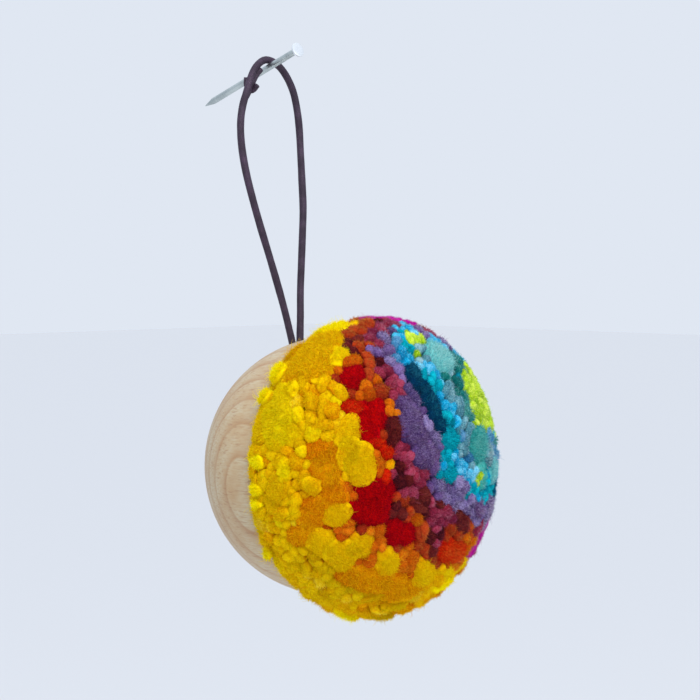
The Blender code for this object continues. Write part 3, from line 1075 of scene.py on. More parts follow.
ROVINGS: tuple[Roving, ...] = (
    # Left of the dome: yellow, gold and amber
    Roving(G, -32, 38, 9.7, 8, 82, 0, 1.1),
    Roving(G, -25, 45.5, 8, 4.6, -75, 0, 1.1),
    Roving(C, -21, 50.2, 7.4, 3.4, -12, 0.5, 1.1),
    Roving(L, -25.8, 34.4, 4.3, 2.1, 32, 0.3),
    Roving(G, -35, 48, 5.5, 3.6, 60, 0.7, 1.1),
    Roving(C, -44.2, 40.6, 5, 3.3, 90, 1.8),
    Roving(G, -39.2, 34, 4.2, 2.6, -78, 0.05),
    Roving(C, -51.8, 31, 3.8, 2.6, -66, 1.7),
    Roving(G, -41.5, 47, 4.2, 2.4, 60, 0.3, 1.3),
    Roving(L, -45, 23.2, 8.3, 3.1, 85, 0.3),
    Roving(L, -49.8, 19.4, 6.6, 2.8, -90, 0.3),
    Roving(L, -43.2, 13.6, 4.2, 2.6, 85, 0.3),
    Roving(L, -48.8, 11.5, 3.4, 3, -37, 0.3),
    Roving(Y, -55, 17.5, 6.6, 3.2, -80, 0.3),
    Roving(C, -56.4, 4.6, 3.2, 2, -2, 0.7),
    Roving(Y, -57, 8.6, 3.3, 2.2, -13, 0.9),
    Roving(C, -56.6, -5.8, 2.8, 1.9, 20, 0.8),
    Roving(C, -56.2, -11.6, 2.9, 1.7, 30, 1.0),
    Roving(C, -50, -34, 3.4, 1.8, 73, 1.4),
    Roving(Y, -51, -24.8, 3.6, 1.9, 69, 1.2),
    Roving(L, -46.1, 3.4, 1.9, 1.5, 84, 0.7),
    Roving(L, -45.7, 0.3, 1.4, 1.2, 76, 0.6),
    Roving(G, -42.8, 4.3, 2.5, 2, 84, 0.2),
    Roving(Y, -40.5, -0.9, 2.4, 1.4, -89, 0.5),
    Roving(Y, -48.5, -4, 4.6, 3.2, 85, 0.1),
    Roving(L, -40.8, 7.6, 1.7, 1.4, -90, 0.7),
    Roving(Y, -37.6, -2.8, 2.1, 1.9, -89, 0.9),
    Roving(Y, -42.6, -7.4, 2, 1.4, -90, 0.6),
    Roving(Y, -43, -11.4, 1.7, 1.5, -88, 0.5),
    Roving(Y, -46.5, -12.2, 2.3, 1.9, 52, 0.5),
    Roving(L, -37.8, 11.9, 1.9, 1.7, 84, 0.5),
    Roving(Y, -35.4, 14.6, 3.6, 1.4, 0, 0.5),
    Roving(Y, -32.1, 26.8, 2.5, 1.4, 53, 0.9),
    Roving(G, -29.7, 25.4, 2.1, 1.5, 77, 0.3),
    Roving(Y, -28.1, 22.8, 2, 1.4, 52, 0.8),
    Roving(Y, -36.6, 22, 2.5, 1.4, 81, 1),
    Roving(Dye.STRAW, -40.4, 22, 2.4, 1.1, 78, 0.7),
    Roving(Y, -33.9, 19.4, 2.4, 1.2, 69, 0.4),
    Roving(L, -41, 27.2, 2.4, 1.4, 75, 0.9),
    Roving(Y, -37.9, 27.6, 2.4, 1.3, 73, 0.4),
    Roving(G, -31.2, 18.2, 1.9, 1.5, 62, 0.9),
    Roving(L, -40.9, 17.6, 2, 1.3, 74, 1),
    Roving(G, -35.1, 25.6, 2.2, 1.2, 82, 0.1),
    Roving(Y, -37.8, 17.6, 2, 1.3, 81, 0.3),
    Roving(Y, -28.4, 12.2, 4.2, 2.7, 68, 0.35),
    Roving(Y, -28.6, 6, 4.2, 2.8, 70, 0.35),
    Roving(Y, -25.6, 3.2, 5, 3.9, 84, 0.5),
    Roving(A, -36, 7, 4.4, 3.6),
    Roving(A, -31.6, 6.6, 2.6, 2.2, 84),
    Roving(A, -34.5, 2, 4.7, 3.8),
    Roving(A, -33, -4.6, 4.4, 3.6),
    Roving(O, -30, -3.6, 2.6, 2.2, 84, -0.1),
    Roving(A, -37.5, -10.5, 4.6, 4.1, -40),
    Roving(A, -40.5, -18, 3.9, 3.4, 61),
    Roving(Y, -31.5, -10.5, 3.4, 3.1, 0, 0.3),
    Roving(Y, -34.5, -19.5, 4.1, 3, -78, 0.2),
    Roving(Y, -28, -23, 4.9, 3.5, -67, 0.2),
    Roving(Y, -23, -19, 3.8, 2.8, -64, 0.3),
    Roving(Y, -14, -24, 4.1, 3, -51, 0.3),
    Roving(Y, 0.5, -28.5, 5.5, 3.3, -29, 0.3),
    Roving(A, -17, -30, 7, 4.6, -15),
    Roving(A, -5, -33, 7.5, 4.2, -16),
    Roving(A, -24.5, -29.5, 3.4, 2.6, -30),
    # Strands that lie along the lower rim
    Roving(C, -15, -48.2, 6, 1.1, -14, 0.9),
    Roving(G, -9.5, -43.5, 5.5, 1, -8, 0.1),
    Roving(Dye.STRAW, -8, -41.6, 4, 0.5, -4, 0.9),
    Roving(A, 1.5, -42, 5.5, 1.2, 2, 0.5),
    Roving(M, -14.1, -36.6, 4.5, 0.8, 21, 0.4),
    Roving(M, -4, -39.3, 5, 0.8, 10, 0.9),
    Roving(G, -2.8, -37.2, 5.9, 0.8, 14, 0.3),
    Roving(C, 14.9, -34.4, 6.6, 0.9, 18, 0.5),
    Roving(M, -3, -45.4, 5, 0.9, -6, 0.8),
    Roving(Y, -4, -47.6, 6, 1, -6, 0.2),
    # Reds
    Roving(Dye.RED, -23.5, 28, 4, 3.2, 18),
    Roving(S, -26, 18.8, 3, 2.2, -20),
    Roving(Dye.RED, -20.8, 16.2, 4.8, 4.2, 53),
    Roving(Dye.RED, -22.6, 11.2, 2.8, 2.4, 60),
    Roving(R, -16.5, 23, 2.5, 1.8),
    Roving(Dye.MAROON, -15, 11.5, 3.4, 2.2, 78),
    Roving(S, -20, 8.4, 1.7, 1.5, 0, 0.3),
    Roving(S, -17.6, 6, 1.9, 1.6, 40, 0.2),
    Roving(S, -18, -0.2, 1.8, 1.4, 70, 0.2),
    Roving(Dye.RED, -21, -4.5, 5.7, 3.8),
    Roving(Dye.RED, -22.5, -9.5, 5.8, 4, -8),
    Roving(Dye.RED, -12, -16, 5.6, 3.8, -15),
    Roving(S, 10, -23, 7.7, 3.4, -10),
    # Purples and blues
    Roving(Dye.PURPLE, -10, 19, 3.3, 2.2),
    Roving(Dye.PURPLE, -9, 14.5, 4.1, 3.1, 9),
    Roving(Dye.PURPLE, -7.5, 9.5, 4.4, 2.9),
    Roving(Dye.PURPLE, -4.5, 4.5, 4.6, 2.9),
    Roving(Dye.PURPLE, 20.5, -11.5, 3.4, 2.1, -40),
    # Strands that lie along the right rim
    Roving(Dye.LILAC, 25.1, -12.9, 4.6, 2, 63, 0.5),
    Roving(Dye.RASPBERRY, 22.6, -16.6, 3.6, 1.4, 60, 0.4),
    Roving(Dye.SEAFOAM, 27.6, -1.3, 3.8, 2.1, 71, 0.6),
    Roving(Dye.MIST, 24.1, 3.2, 3.4, 2, 73, 0.4),
    Roving(Dye.LILAC, 29.4, -12.6, 4.4, 1.5, 66, 0.3),
    Roving(Dye.NAVY, -4, 27.5, 2.9, 2.6, 25),
    Roving(Dye.NAVY, -2.5, 22.5, 3.2, 2.9),
    Roving(Dye.NAVY, -0.5, 18, 3.2, 2.8),
    Roving(Dye.NAVY, 1, 13, 3, 2.6, -47),
    Roving(Dye.TEAL, 5, 8.5, 3.8, 2.9),
    Roving(Dye.TEAL, 4.5, -1, 2.9, 2),
    Roving(Dye.LIME, 0.4, 33, 1.3, 1, 0, 0.1),
    Roving(Dye.SEAFOAM, 10.5, 32, 6, 5.1),
    Roving(Dye.JADE, 18.5, 6.5, 5.7, 4.9, 28),
    # Round the far side
    Roving(Dye.SEAFOAM, 42, 30, 6, 4, -30),
    Roving(Dye.AQUA, 50, 7, 5, 3.6, 70),
    Roving(Dye.NAVY, 48, -12, 5.5, 3.6, 80),
    Roving(Dye.PURPLE, 56, -22, 5, 3.4, 60),
    Roving(Dye.MAGENTA, 46, -33, 6, 3.8, -40),
    Roving(Dye.RED, 33, -42, 6, 4, -20),
    Roving(G, 12, -55, 8, 4, 10),
    Roving(Y, -16, -57, 7, 4, -20),
    Roving(Y, -18, 60, 7, 3.5, 20),
    Roving(Dye.MAGENTA, 10, 60, 7, 3.5, -10),
    Roving(Dye.LILAC, 38, 46, 5.5, 3.6, -40),
    Roving(Dye.LIME, 60, 16, 5, 3, 80),
)

RUNS: tuple[Run, ...] = (
    Run(Dye.MAGENTA, ((-3, 51), (1, 49.5), (5, 48))),
    Run(G, ((-17, 47), (-12, 49))),
    Run(R, ((-18, 43), (-15, 42), (-9, 47), (-18, 37))),
    Run(O, ((-17, 53), (-20, 52))),
    Run(O, ((-27, 30), (-23, 32), (-20, 33))),
    Run(O, ((-17, 28), (-23, 24), (-20, 21))),
    Run(R, ((-18.5, 33.8), (-19, 26), (-15, 27))),
    Run(Dye.MAROON, ((-20.4, 37.6), (-17, 36.6))),
    Run(Dye.MAROON, ((-16, 25), (-13, 28))),
    Run(Dye.RASPBERRY, ((1, 46), (-5, 44), (-12, 40))),
    Run(Dye.RASPBERRY, ((-14, 31), (-12, 29))),
    Run(Dye.RASPBERRY, ((-12, 25), (-12, 23))),
    Run(Dye.LILAC, ((-10, 40), (-6, 41), (-1, 42))),
    Run(Dye.PURPLE, ((-13, 35), (-11, 34))),
    Run(Dye.PURPLE, ((-10, 31), (-8, 27))),
    Run(Dye.LILAC, ((-8, 25), (-7, 23))),
    Run(Dye.TEAL, ((3, 46), (-1, 40), (-2, 35))),
    Run(Dye.SKY, ((4, 43), (7, 42))),
    Run(Dye.STEEL, ((-7, 36), (-6, 34))),
    Run(Dye.SKY, ((-5, 33), (-3, 31), (0, 30))),
    Run(Dye.LIME, ((2, 39), (7, 39))),
    Run(Dye.MIST, ((3, 36), (2, 31))),
    Run(Dye.LILAC, ((10, 40), (10, 38))),
    Run(Dye.SKY, ((11, 37), (12, 36))),
    Run(Dye.TEAL, ((0, 28), (2, 26), (3, 23))),
    Run(Dye.SKY, ((3, 29), (4, 27))),
    Run(Dye.PINE, ((11, 27), (15, 24), (14, 18), (14, 15))),
    Run(Dye.PINE, ((20, 30), (22, 29))),
    Run(Dye.LIME, ((20.5, 26), (23, 24), (25, 22), (27, 18))),
    Run(Dye.LIME, ((28, 26.5), (31, 23.5), (31.5, 19.5), (33.5, 15), (34, 12.5))),
    Run(Dye.LIME, ((17.5, 21.5), (20, 18.5), (27, 15), (21.5, 14.5))),
    Run(Dye.AQUA, ((6, 22), (8, 20), (6, 17), (10, 15))),
    Run(Dye.MIST, ((9, 23), (11, 19), (12, 12))),
    Run(Dye.LILAC, ((-5, 17), (-3, 12), (-1, 8))),
    Run(Dye.TEAL, ((5, 14), (5, 11))),
    Run(Dye.MIST, ((10, 9), (10, 6), (11, 3))),
    Run(Dye.SKY, ((7, 4), (9, 2))),
    Run(Dye.TEAL, ((2, 4), (3, 1))),
    Run(Dye.PINE, ((33.5, 9), (34, 6))),
    Run(Dye.STEEL, ((31, 5), (36, -1))),
    Run(O, ((-14, 15), (-13, 17))),
    Run(R, ((-18, 14), (-18.5, 10.5))),
    Run(O, ((-23, 6.5), (-20.6, 3.9), (-19.3, 1.8))),
    Run(A, ((-16.8, 2.6), (-16.5, 2.4))),
    Run(R, ((-16.5, 0.5), (-16, -1.5))),
    Run(Dye.RASPBERRY, ((-11, 4), (-9, 2), (-7, 0), (-7, -3))),
    Run(Dye.RASPBERRY, ((-11, -5), (-10, -7))),
    Run(Dye.RASPBERRY, ((-0.9, -9.6), (3, -12.5), (1.4, -15), (6, -13.6), (10.7, -11))),
    Run(Dye.MAROON, ((-14, 2), (-13, -1), (-10.2, -3.6), (-7.6, -6.2))),
    Run(Dye.MAROON, ((-15, -9), (-13, -8))),
    Run(Dye.MAROON, ((-6, -7), (-6, -11))),
    Run(Dye.MAROON, ((0.5, -18), (-2, -19.8))),
    Run(Dye.MAROON, ((11, -15), (14, -15))),
    Run(Dye.PURPLE, ((-3, -4), (2, -5), (-1, -7))),
    Run(Dye.PURPLE, ((-2, 1), (-4, -1))),
    Run(Dye.LILAC, ((10, -3), (7, -9), (16, -9))),
    Run(Dye.TEAL, ((11, -8), (15, -5), (25, -8))),
    Run(Dye.SKY, ((10, -1), (14, -2))),
    Run(Dye.LIME, ((17, -3), (17, -4))),
    Run(Dye.JADE, ((18, 0), (22, -5))),
    Run(Dye.TEAL, ((26, -4), (28, -7))),
    Run(Dye.NAVY, ((33, -6), (32, -11))),
    Run(Dye.MAGENTA, ((30, -19), (25, -24))),
    Run(Dye.LILAC, ((22, -15), (26, -17))),
    Run(R, ((8, -18), (15, -19), (19, -20))),
    Run(R, ((-11, -9), (-9, -11))),
    Run(R, ((-16, -6), (-17, -8))),
    Run(R, ((-5, -15), (-6, -14))),
    Run(O, ((-10.5, -23.5), (-8, -23))),
    Run(R, ((-9.5, -21.5), (-5, -21.5), (0.5, -22.8))),
    Run(O, ((19, -23), (18, -27))),
    Run(O, ((-31, -15), (-28, -12), (-28, -16))),
    Run(O, ((-20, -19), (-19, -17))),
    Run(Y, ((19, -30), (16, -33))),
    Run(G, ((13, -35), (8, -38), (1, -40), (-7, -42))),
    Run(Y, ((-34, 28), (-33, 23), (-30, 21))),
    Run(Y, ((-57, 20), (-60, 5), (-58, -11), (-53, -21))),
    Run(Y, ((-51, 8), (-45, 4), (-42, 2))),
    Run(Y, ((-52, -1), (-48, -11), (-44, -19))),
    Run(Y, ((-41, -1), (-38, -3), (-42, -8))),
    Run(Y, ((-49, -23), (-42, -31), (-33, -40), (-24, -43))),
    Run(M, ((-39, -26), (-33, -30), (-26, -35))),
    Run(Y, ((-49, 29), (-53, 20))),
    Run(Y, ((-41, 15), (-36, 13), (-32, 11))),
    Run(M, ((-50, 10), (-46, 8))),
    # Round the far side
    Run(Dye.MAGENTA, ((12, 52), (22, 50), (30, 46))),
    Run(Dye.RASPBERRY, ((18, 46), (28, 42))),
    Run(Dye.LILAC, ((22, 40), (30, 38), (38, 34))),
    Run(Dye.SKY, ((26, 36), (34, 33))),
    Run(Dye.AQUA, ((36, 28), (44, 22), (50, 12))),
    Run(Dye.SEAFOAM, ((39, 23), (42, 18), (44, 13))),
    Run(Dye.LIME, ((48, 30), (56, 20), (60, 4))),
    Run(Dye.PINE, ((54, 26), (50, 16))),
    Run(Dye.SEAFOAM, ((62, 12), (58, -6))),
    Run(Dye.TEAL, ((44, 8), (46, -4))),
    Run(Dye.SKY, ((40, 0), (43, -10))),
    Run(Dye.NAVY, ((38, -8), (46, -18), (52, -28))),
    Run(Dye.PURPLE, ((52, -12), (60, -20))),
    Run(Dye.MAGENTA, ((38, -24), (46, -30), (56, -34))),
    Run(Dye.RASPBERRY, ((34, -26), (36, -36), (46, -42))),
    Run(R, ((28, -32), (26, -40), (40, -50))),
    Run(O, ((20, -40), (30, -52))),
    Run(Y, ((12, -46), (22, -58), (4, -60))),
    Run(G, ((-8, -52), (-20, -50), (0, -64))),
    Run(Y, ((-30, -50), (-42, -44), (-50, -38))),
    Run(R, ((-4, 56), (-10, 62))),
    Run(Y, ((-30, 56), (-40, 50), (-54, 38), (-62, 20), (-64, 0), (-60, -20))),
    Run(Dye.LILAC, ((26, 58), (34, 54))),
    Run(Dye.SKY, ((46, 42), (52, 36))),
)


# Waves, in radians a millimetre, that make the edges of tufts ragged, and their shift from tuft to tuft
RAGGED_WAVES = np.array(
    ((2.1, 0.7, -0.9), (-0.8, 2.3, 1.1), (1.2, -1.4, 2.4), (-3.6, 2.2, 1.9), (2.9, 3.4, -2.6))
)
RAGGED_STEPS = np.array((1.7, 2.9, 4.3, 5.1, 0.9))
# Their height in millimetres, on rovings and on thin ends
RAGGED_EDGE = (0.2, 0.06)
# How much farther out a point may count because it lies off a tuft's own plane
MOST_STRETCH = 1.4


@dataclass
class Tufts:
    """Cut strand ends on the bun, as arrays with one row for each."""

    centre: Array
    along: Array
    across: Array
    half: Array
    dye: Array
    shade: Array
    lift: Array
    lean: Array
    nap: Array
    wide: Array

    def __len__(self) -> int:
        """How many there are."""
        return len(self.centre)

    def joined(self, other: "Tufts") -> "Tufts":
        """These and others in one set."""
        pairs = zip(vars(self).values(), vars(other).values())
        return Tufts(*(np.concatenate([mine, theirs]) for mine, theirs in pairs))

    def take(self, rows: Array) -> "Tufts":
        """Some of them."""
        return Tufts(*(values[rows] for values in vars(self).values()))

    def ways(self, angle: Array) -> Array:
        """Unit directions at angles round them, on their own planes."""
        c, s = np.cos(angle)[None, :, None], np.sin(angle)[None, :, None]
        return c * self.along[:, None] + s * self.across[:, None]

    def oval_reach(self, angle: Array) -> Array:
        """How far their ovals reach at angles round them."""
        a, b = self.half[:, 0, None], self.half[:, 1, None]
        return a * b / np.hypot(b * np.cos(angle), a * np.sin(angle))

    def edge_gap(self, rows: Array, points: Array) -> Array:
        """How far points lie outside the ragged edge of tufts, or inside it where negative.

        Args:
            rows: The tufts, in any shape.
            points: The points, in a shape that goes with it and three coordinates.

        Returns:
            The distances.
        """
        offset = points - self.centre[rows]
        x = np.sum(offset * self.along[rows], axis=-1)
        y = np.sum(offset * self.across[rows], axis=-1)
        stretch = np.linalg.norm(offset, axis=-1) / np.maximum(np.hypot(x, y), 1e-6)
        a, b = self.half[rows][..., 0], self.half[rows][..., 1]
        level = np.hypot(x / a, y / b)
        slope = np.maximum(np.hypot(x / a**2, y / b**2), 1e-9)
        outside = (level * np.clip(stretch, 1.0, MOST_STRETCH) - 1) * level / slope
        waves = np.sin(points @ RAGGED_WAVES.T + rows[..., None] * RAGGED_STEPS).sum(-1)
        return outside + np.where(self.wide[rows], *RAGGED_EDGE) * waves


@dataclass
class Outline:
    """How far tufts reach in each direction, and how fully they run on into what they meet there."""

    reach: Array
    merge: Array

    def of(self, rows: Array) -> "Outline":
        """The outline of some of the tufts."""
        return Outline(self.reach[rows], self.merge[rows])

    def eased(self, times: int) -> "Outline":
        """The outline after its corners are rounded a number of times."""
        reach, merge = self.reach, self.merge
        for _ in range(times):
            reach, merge = (
                0.5 * v + 0.25 * (np.roll(v, 1, axis=1) + np.roll(v, -1, axis=1)) for v in (reach, merge)
            )
        return Outline(reach, merge)


@dataclass(frozen=True)
class TuftShape:
    """How one kind of tuft is cut: the faces round it, its rounded brim and its rings down to the root.

    Lengths are in millimetres. Each ring has its share of the reach, how far inside the edge it
    lies as a share of the brim's width, and its depth under the rounded crown. A tuft reaches from
    the nearest to the furthest share of its own size, and its outline is eased a number of times.
    """

    steps: int
    rings: tuple[Point, ...]
    neighbours: int
    brim_width: float
    brim_depth: float
    # How far an unmerged edge is darkened towards the deep colour, as painted shade.
    painted_edge_shade: float
    furthest: float
    easing: int
    nearest: float = 0.3
    probes: int = 18

    @property
    def angles(self) -> Array:
        """The angles round a tuft."""
        return np.arange(self.steps) * 2 * math.pi / self.steps

    @property
    def count(self) -> int:
        """How many points a tuft has: those of its rings, then its crown and its root."""
        return len(self.rings) * self.steps + 2

    def faces(self, tufts: int) -> Array:
        """The faces of a number of tufts, whose points follow one another."""
        steps, last = self.steps, (len(self.rings) - 1) * self.steps
        crown, root = self.count - 2, self.count - 1
        one = ring_faces(len(self.rings), steps)
        one += [(crown, k, (k + 1) % steps, (k + 1) % steps) for k in range(steps)]
        one += [(root, last + (k + 1) % steps, last + k, last + k) for k in range(steps)]
        starts = np.arange(tufts) * self.count
        return (np.array(one)[None] + starts[:, None, None]).reshape(-1, 4)


SMALL_TUFT = TuftShape(
    11,
    (
        (1.0, 0.62, 0.0), (1.0, 0.26, 0.0), (1.0, 0.0, 0.0), (1.0, -0.16, 0.0),
        (1.3, 0.0, 0.8), (0.8, 0.0, 4.0),
    ),
    neighbours=14,
    brim_width=2.0,
    brim_depth=0.4,
    painted_edge_shade=0.2,
    furthest=1.4,
    easing=1,
)
WIDE_TUFT = TuftShape(
    40,
    (
        (0.5, 1.0, 0.0), (1.0, 1.0, 0.0), (1.0, 0.66, 0.0), (1.0, 0.38, 0.0), (1.0, 0.16, 0.0),
        (1.0, 0.0, 0.0), (1.0, -0.16, 0.02), (1.0, -0.26, 0.9), (0.85, 0.0, 4.0),
    ),
    neighbours=40,
    brim_width=2.8,
    brim_depth=0.55,
    painted_edge_shade=0.9,
    furthest=1.2,
    easing=4,
)


@dataclass
class Block:
    """Mesh data of some tufts.

    Faces have four corners, and a triangle repeats its last. Each point has how near it is to
    the cut tip, which sets how much painted crease shade it takes, its tuft's random tone less the
    painted shade at an unmerged edge, how long the nap on it is and whether nap grows there.
    """

    points: Array
    faces: Array
    tip: Array
    shade: Array
    pile: Array
    grow: Array


def with_poles(rings: Array, crown: Any, root: Any) -> Array:
    """Values of tufts' points, tuft after tuft.

    Args:
        rings: Those of the rings' points, one row a tuft.
        crown: That of the crown, or one for each tuft.
        root: That of the root, or one for each tuft.

    Returns:
        The values in one line.
    """
    tufts = len(rings)
    poles = [np.broadcast_to(value, tufts)[:, None] for value in (crown, root)]
    return np.concatenate([rings.reshape(tufts, math.prod(rings.shape[1:])), *poles], axis=1).ravel()


@dataclass
class Shears:
    """Cuts tufts where they meet their neighbours and rounds their crowns, in millimetres.

    Rovings run on into one another, and thin ends of one dye a little, unless one of them stands
    a step higher. Nap is thinner inside the creases and shorter on small tufts.
    """

    bun: TrimmedBun
    merge_one_dye: float = 0.92
    merge_two_dyes: float = 0.65
    merge_thin: float = 0.15
    merge_overlap: float = 1.0
    merge_step: float = 0.5
    widest_brim: float = 0.96
    fall_by_outline: Pair = (0.6, 1.35)
    fall_by_size: Pair = (0.7, 1.2)
    usual_reach: float = 1.3
    # How much lift spares a proud tuft painted crease shade, the depth at which that shade is full, and how
    # the painted edge shade falls off.
    proud_lift: float = 0.4
    tip_depth: float = 1.5
    edge_power: float = 1.5
    nap_edge: float = 0.45
    nap_at_edge: float = 0.6
    deepest_nap: float = 0.5
    rim_nap: float = 0.15
    full_nap_radius: float = 1.9
    shortest_nap: float = 0.5

    def outlines(self, tufts: Tufts, rows: Array, shape: TuftShape) -> Outline:
        """How far each tuft reaches in each direction before it meets its neighbours.

        Args:
            tufts: All tufts.
            rows: The tufts to outline.
            shape: How they are cut.

        Returns:
            Their outline in millimetres, one row a tuft.
        """
        own = tufts.take(rows)
        oval = own.oval_reach(shape.angles)
        shares = np.linspace(shape.nearest, shape.furthest, shape.probes)
        offsets = own.ways(shape.angles)[:, :, None] * (oval[:, :, None] * shares)[..., None]
        probes = own.centre[:, None, None] + offsets
        probes = self.bun.sink(self.bun.outward(probes), 0.0)
        gaps, rivals = self.rivals(tufts, rows, probes, shape.neighbours)
        over = tufts.edge_gap(rows[:, None, None], probes) - gaps
        past = over > 0
        met = past.any(axis=2)
        first = np.maximum(np.where(met, past.argmax(axis=2), shape.probes - 1), 1)
        after, before, rival = (
            np.take_along_axis(values, first[..., None] - back, 2)[..., 0]
            for values, back in ((over, 0), (over, 1), (rivals, 0))
        )
        part = np.clip(-before / np.maximum(after - before, 1e-6), 0.0, 1.0)
        found = oval * (shares[first - 1] + part * (shares[first] - shares[first - 1]))
        return Outline(found, self.merging(tufts, rows, rival) * met).eased(shape.easing)

    def rivals(
        self, tufts: Tufts, rows: Array, probes: Array, neighbours: int
    ) -> tuple[Array, Array]:
        """How far probes lie outside the nearest other tuft, and which one it is.

        Args:
            tufts: All tufts.
            rows: The tufts that the probes belong to.
            probes: The points, one row a tuft.
            neighbours: How many other tufts are looked at.

        Returns:
            The distances and the tufts.
        """
        size = tufts.half.max(axis=1)
        between = np.linalg.norm(tufts.centre[rows][:, None] - tufts.centre[None], axis=-1)
        between -= size[rows][:, None] + size[None]
        between[np.arange(len(rows)), rows] = np.inf
        near = np.argsort(between, axis=1)[:, :neighbours, None, None]
        least, rival = np.full(probes.shape[:-1], np.inf), np.zeros(probes.shape[:-1], int)
        for k in range(near.shape[1]):
            gap = tufts.edge_gap(near[:, k], probes)
            rival = np.where(gap < least, near[:, k], rival)
            least = np.minimum(least, gap)
        return least, rival

    def merging(self, tufts: Tufts, rows: Array, met: Array) -> Array:
        """How fully tufts run on into what they meet: rovings do, and thin ends of one dye a little."""
        both_wide = tufts.wide[rows][:, None] & tufts.wide[met]
        level = np.abs(tufts.lift[rows][:, None] - tufts.lift[met]) < self.merge_step
        same = tufts.dye[rows][:, None] == tufts.dye[met]
        rovings = np.where(same, self.merge_one_dye, self.merge_two_dyes)
        return np.where(both_wide, rovings, self.merge_thin * same) * level

    def cut(self, tufts: Tufts, outline: Outline, shape: TuftShape) -> Block:
        """Cuts tufts of one kind to their outlines.

        Args:
            tufts: The tufts.
            outline: Their outlines.
            shape: How they are cut.

        Returns:
            The tufts' mesh data.
        """
        share, inset, depth = (column[None, :, None] for column in np.array(shape.rings).T)
        reach = (outline.reach + self.merge_overlap * outline.merge)[:, None]
        radius = (reach - np.minimum(shape.brim_width, self.widest_brim * reach) * inset) * share
        sunk = depth + self.fall(tufts, outline, shape)[:, None] * np.clip(1 - inset, 0, None) ** 2
        # Points deeper under the crown, less a proud tuft's extra lift, take more painted crease shade, and
        # an unmerged edge gets painted edge shade.
        proud = np.clip(tufts.lift[:, None, None] - self.proud_lift, 0, None)
        bare = np.clip((sunk - proud) / self.tip_depth, 0, 1)
        edge = shape.painted_edge_shade * np.clip(1 - inset, 0, 1) ** self.edge_power * (1 - outline.merge[:, None])
        inside = np.clip(self.nap_at_edge + (outline.reach[:, None] - radius) / self.nap_edge, 0, 1)
        return Block(
            self.bun.world(self.points(tufts, radius, sunk, shape).reshape(-1, 3)),
            shape.faces(len(tufts)),
            with_poles(1 - bare, 1.0, 0.0),
            with_poles(tufts.shade[:, None, None] - edge, tufts.shade, tufts.shade),
            np.repeat(self.pile(tufts, outline), shape.count),
            with_poles(inside * (depth < self.deepest_nap), 1.0, 0.0),
        )

    def fall(self, tufts: Tufts, outline: Outline, shape: TuftShape) -> Array:
        """How far crowns fall to their edge: less where they merge, and on small or squeezed tufts."""
        squeeze = outline.reach / tufts.oval_reach(shape.angles)
        fall = shape.brim_depth * np.clip(squeeze, *self.fall_by_outline) ** 2 * (1 - outline.merge)
        size = outline.reach.mean(axis=1, keepdims=True) / self.usual_reach
        return fall * np.clip(size, *self.fall_by_size)

    def points(self, tufts: Tufts, radius: Array, sunk: Array, shape: TuftShape) -> Array:
        """The points of tufts' rings, then those of their crown and their root.

        Args:
            tufts: The tufts.
            radius: How far from their middle the rings' points lie.
            sunk: How deep those lie under a tuft's flat top.
            shape: How they are cut.

        Returns:
            The points in the bun's millimetres, one row a tuft.
        """
        x, y = radius * np.cos(shape.angles), radius * np.sin(shape.angles)
        lean = tufts.lean[:, :, None, None]
        level = sunk - tufts.lift[:, None, None] + lean[:, 0] * x + lean[:, 1] * y
        centre, along, across = (v[:, None, None] for v in (tufts.centre, tufts.along, tufts.across))
        rings = self.bun.sink(self.bun.outward(centre + x[..., None] * along + y[..., None] * across), level)
        outward = self.bun.outward(tufts.centre)
        root_depth = np.full(len(tufts), shape.rings[-1][2])
        poles = np.stack([self.bun.sink(outward, depth) for depth in (-tufts.lift, root_depth)], 1)
        return np.concatenate([rings.reshape(len(tufts), shape.count - 2, 3), poles], axis=1)

    def pile(self, tufts: Tufts, outline: Outline) -> Array:
        """How long the nap on each tuft is: shorter on small tufts and longer at the rim."""
        size = np.clip(outline.reach.mean(axis=1) / self.full_nap_radius, self.shortest_nap, 1.0)
        near_rim = self.bun.near_rim(self.bun.length(tufts.centre))
        return size * tufts.nap * (1 + self.rim_nap * near_rim)


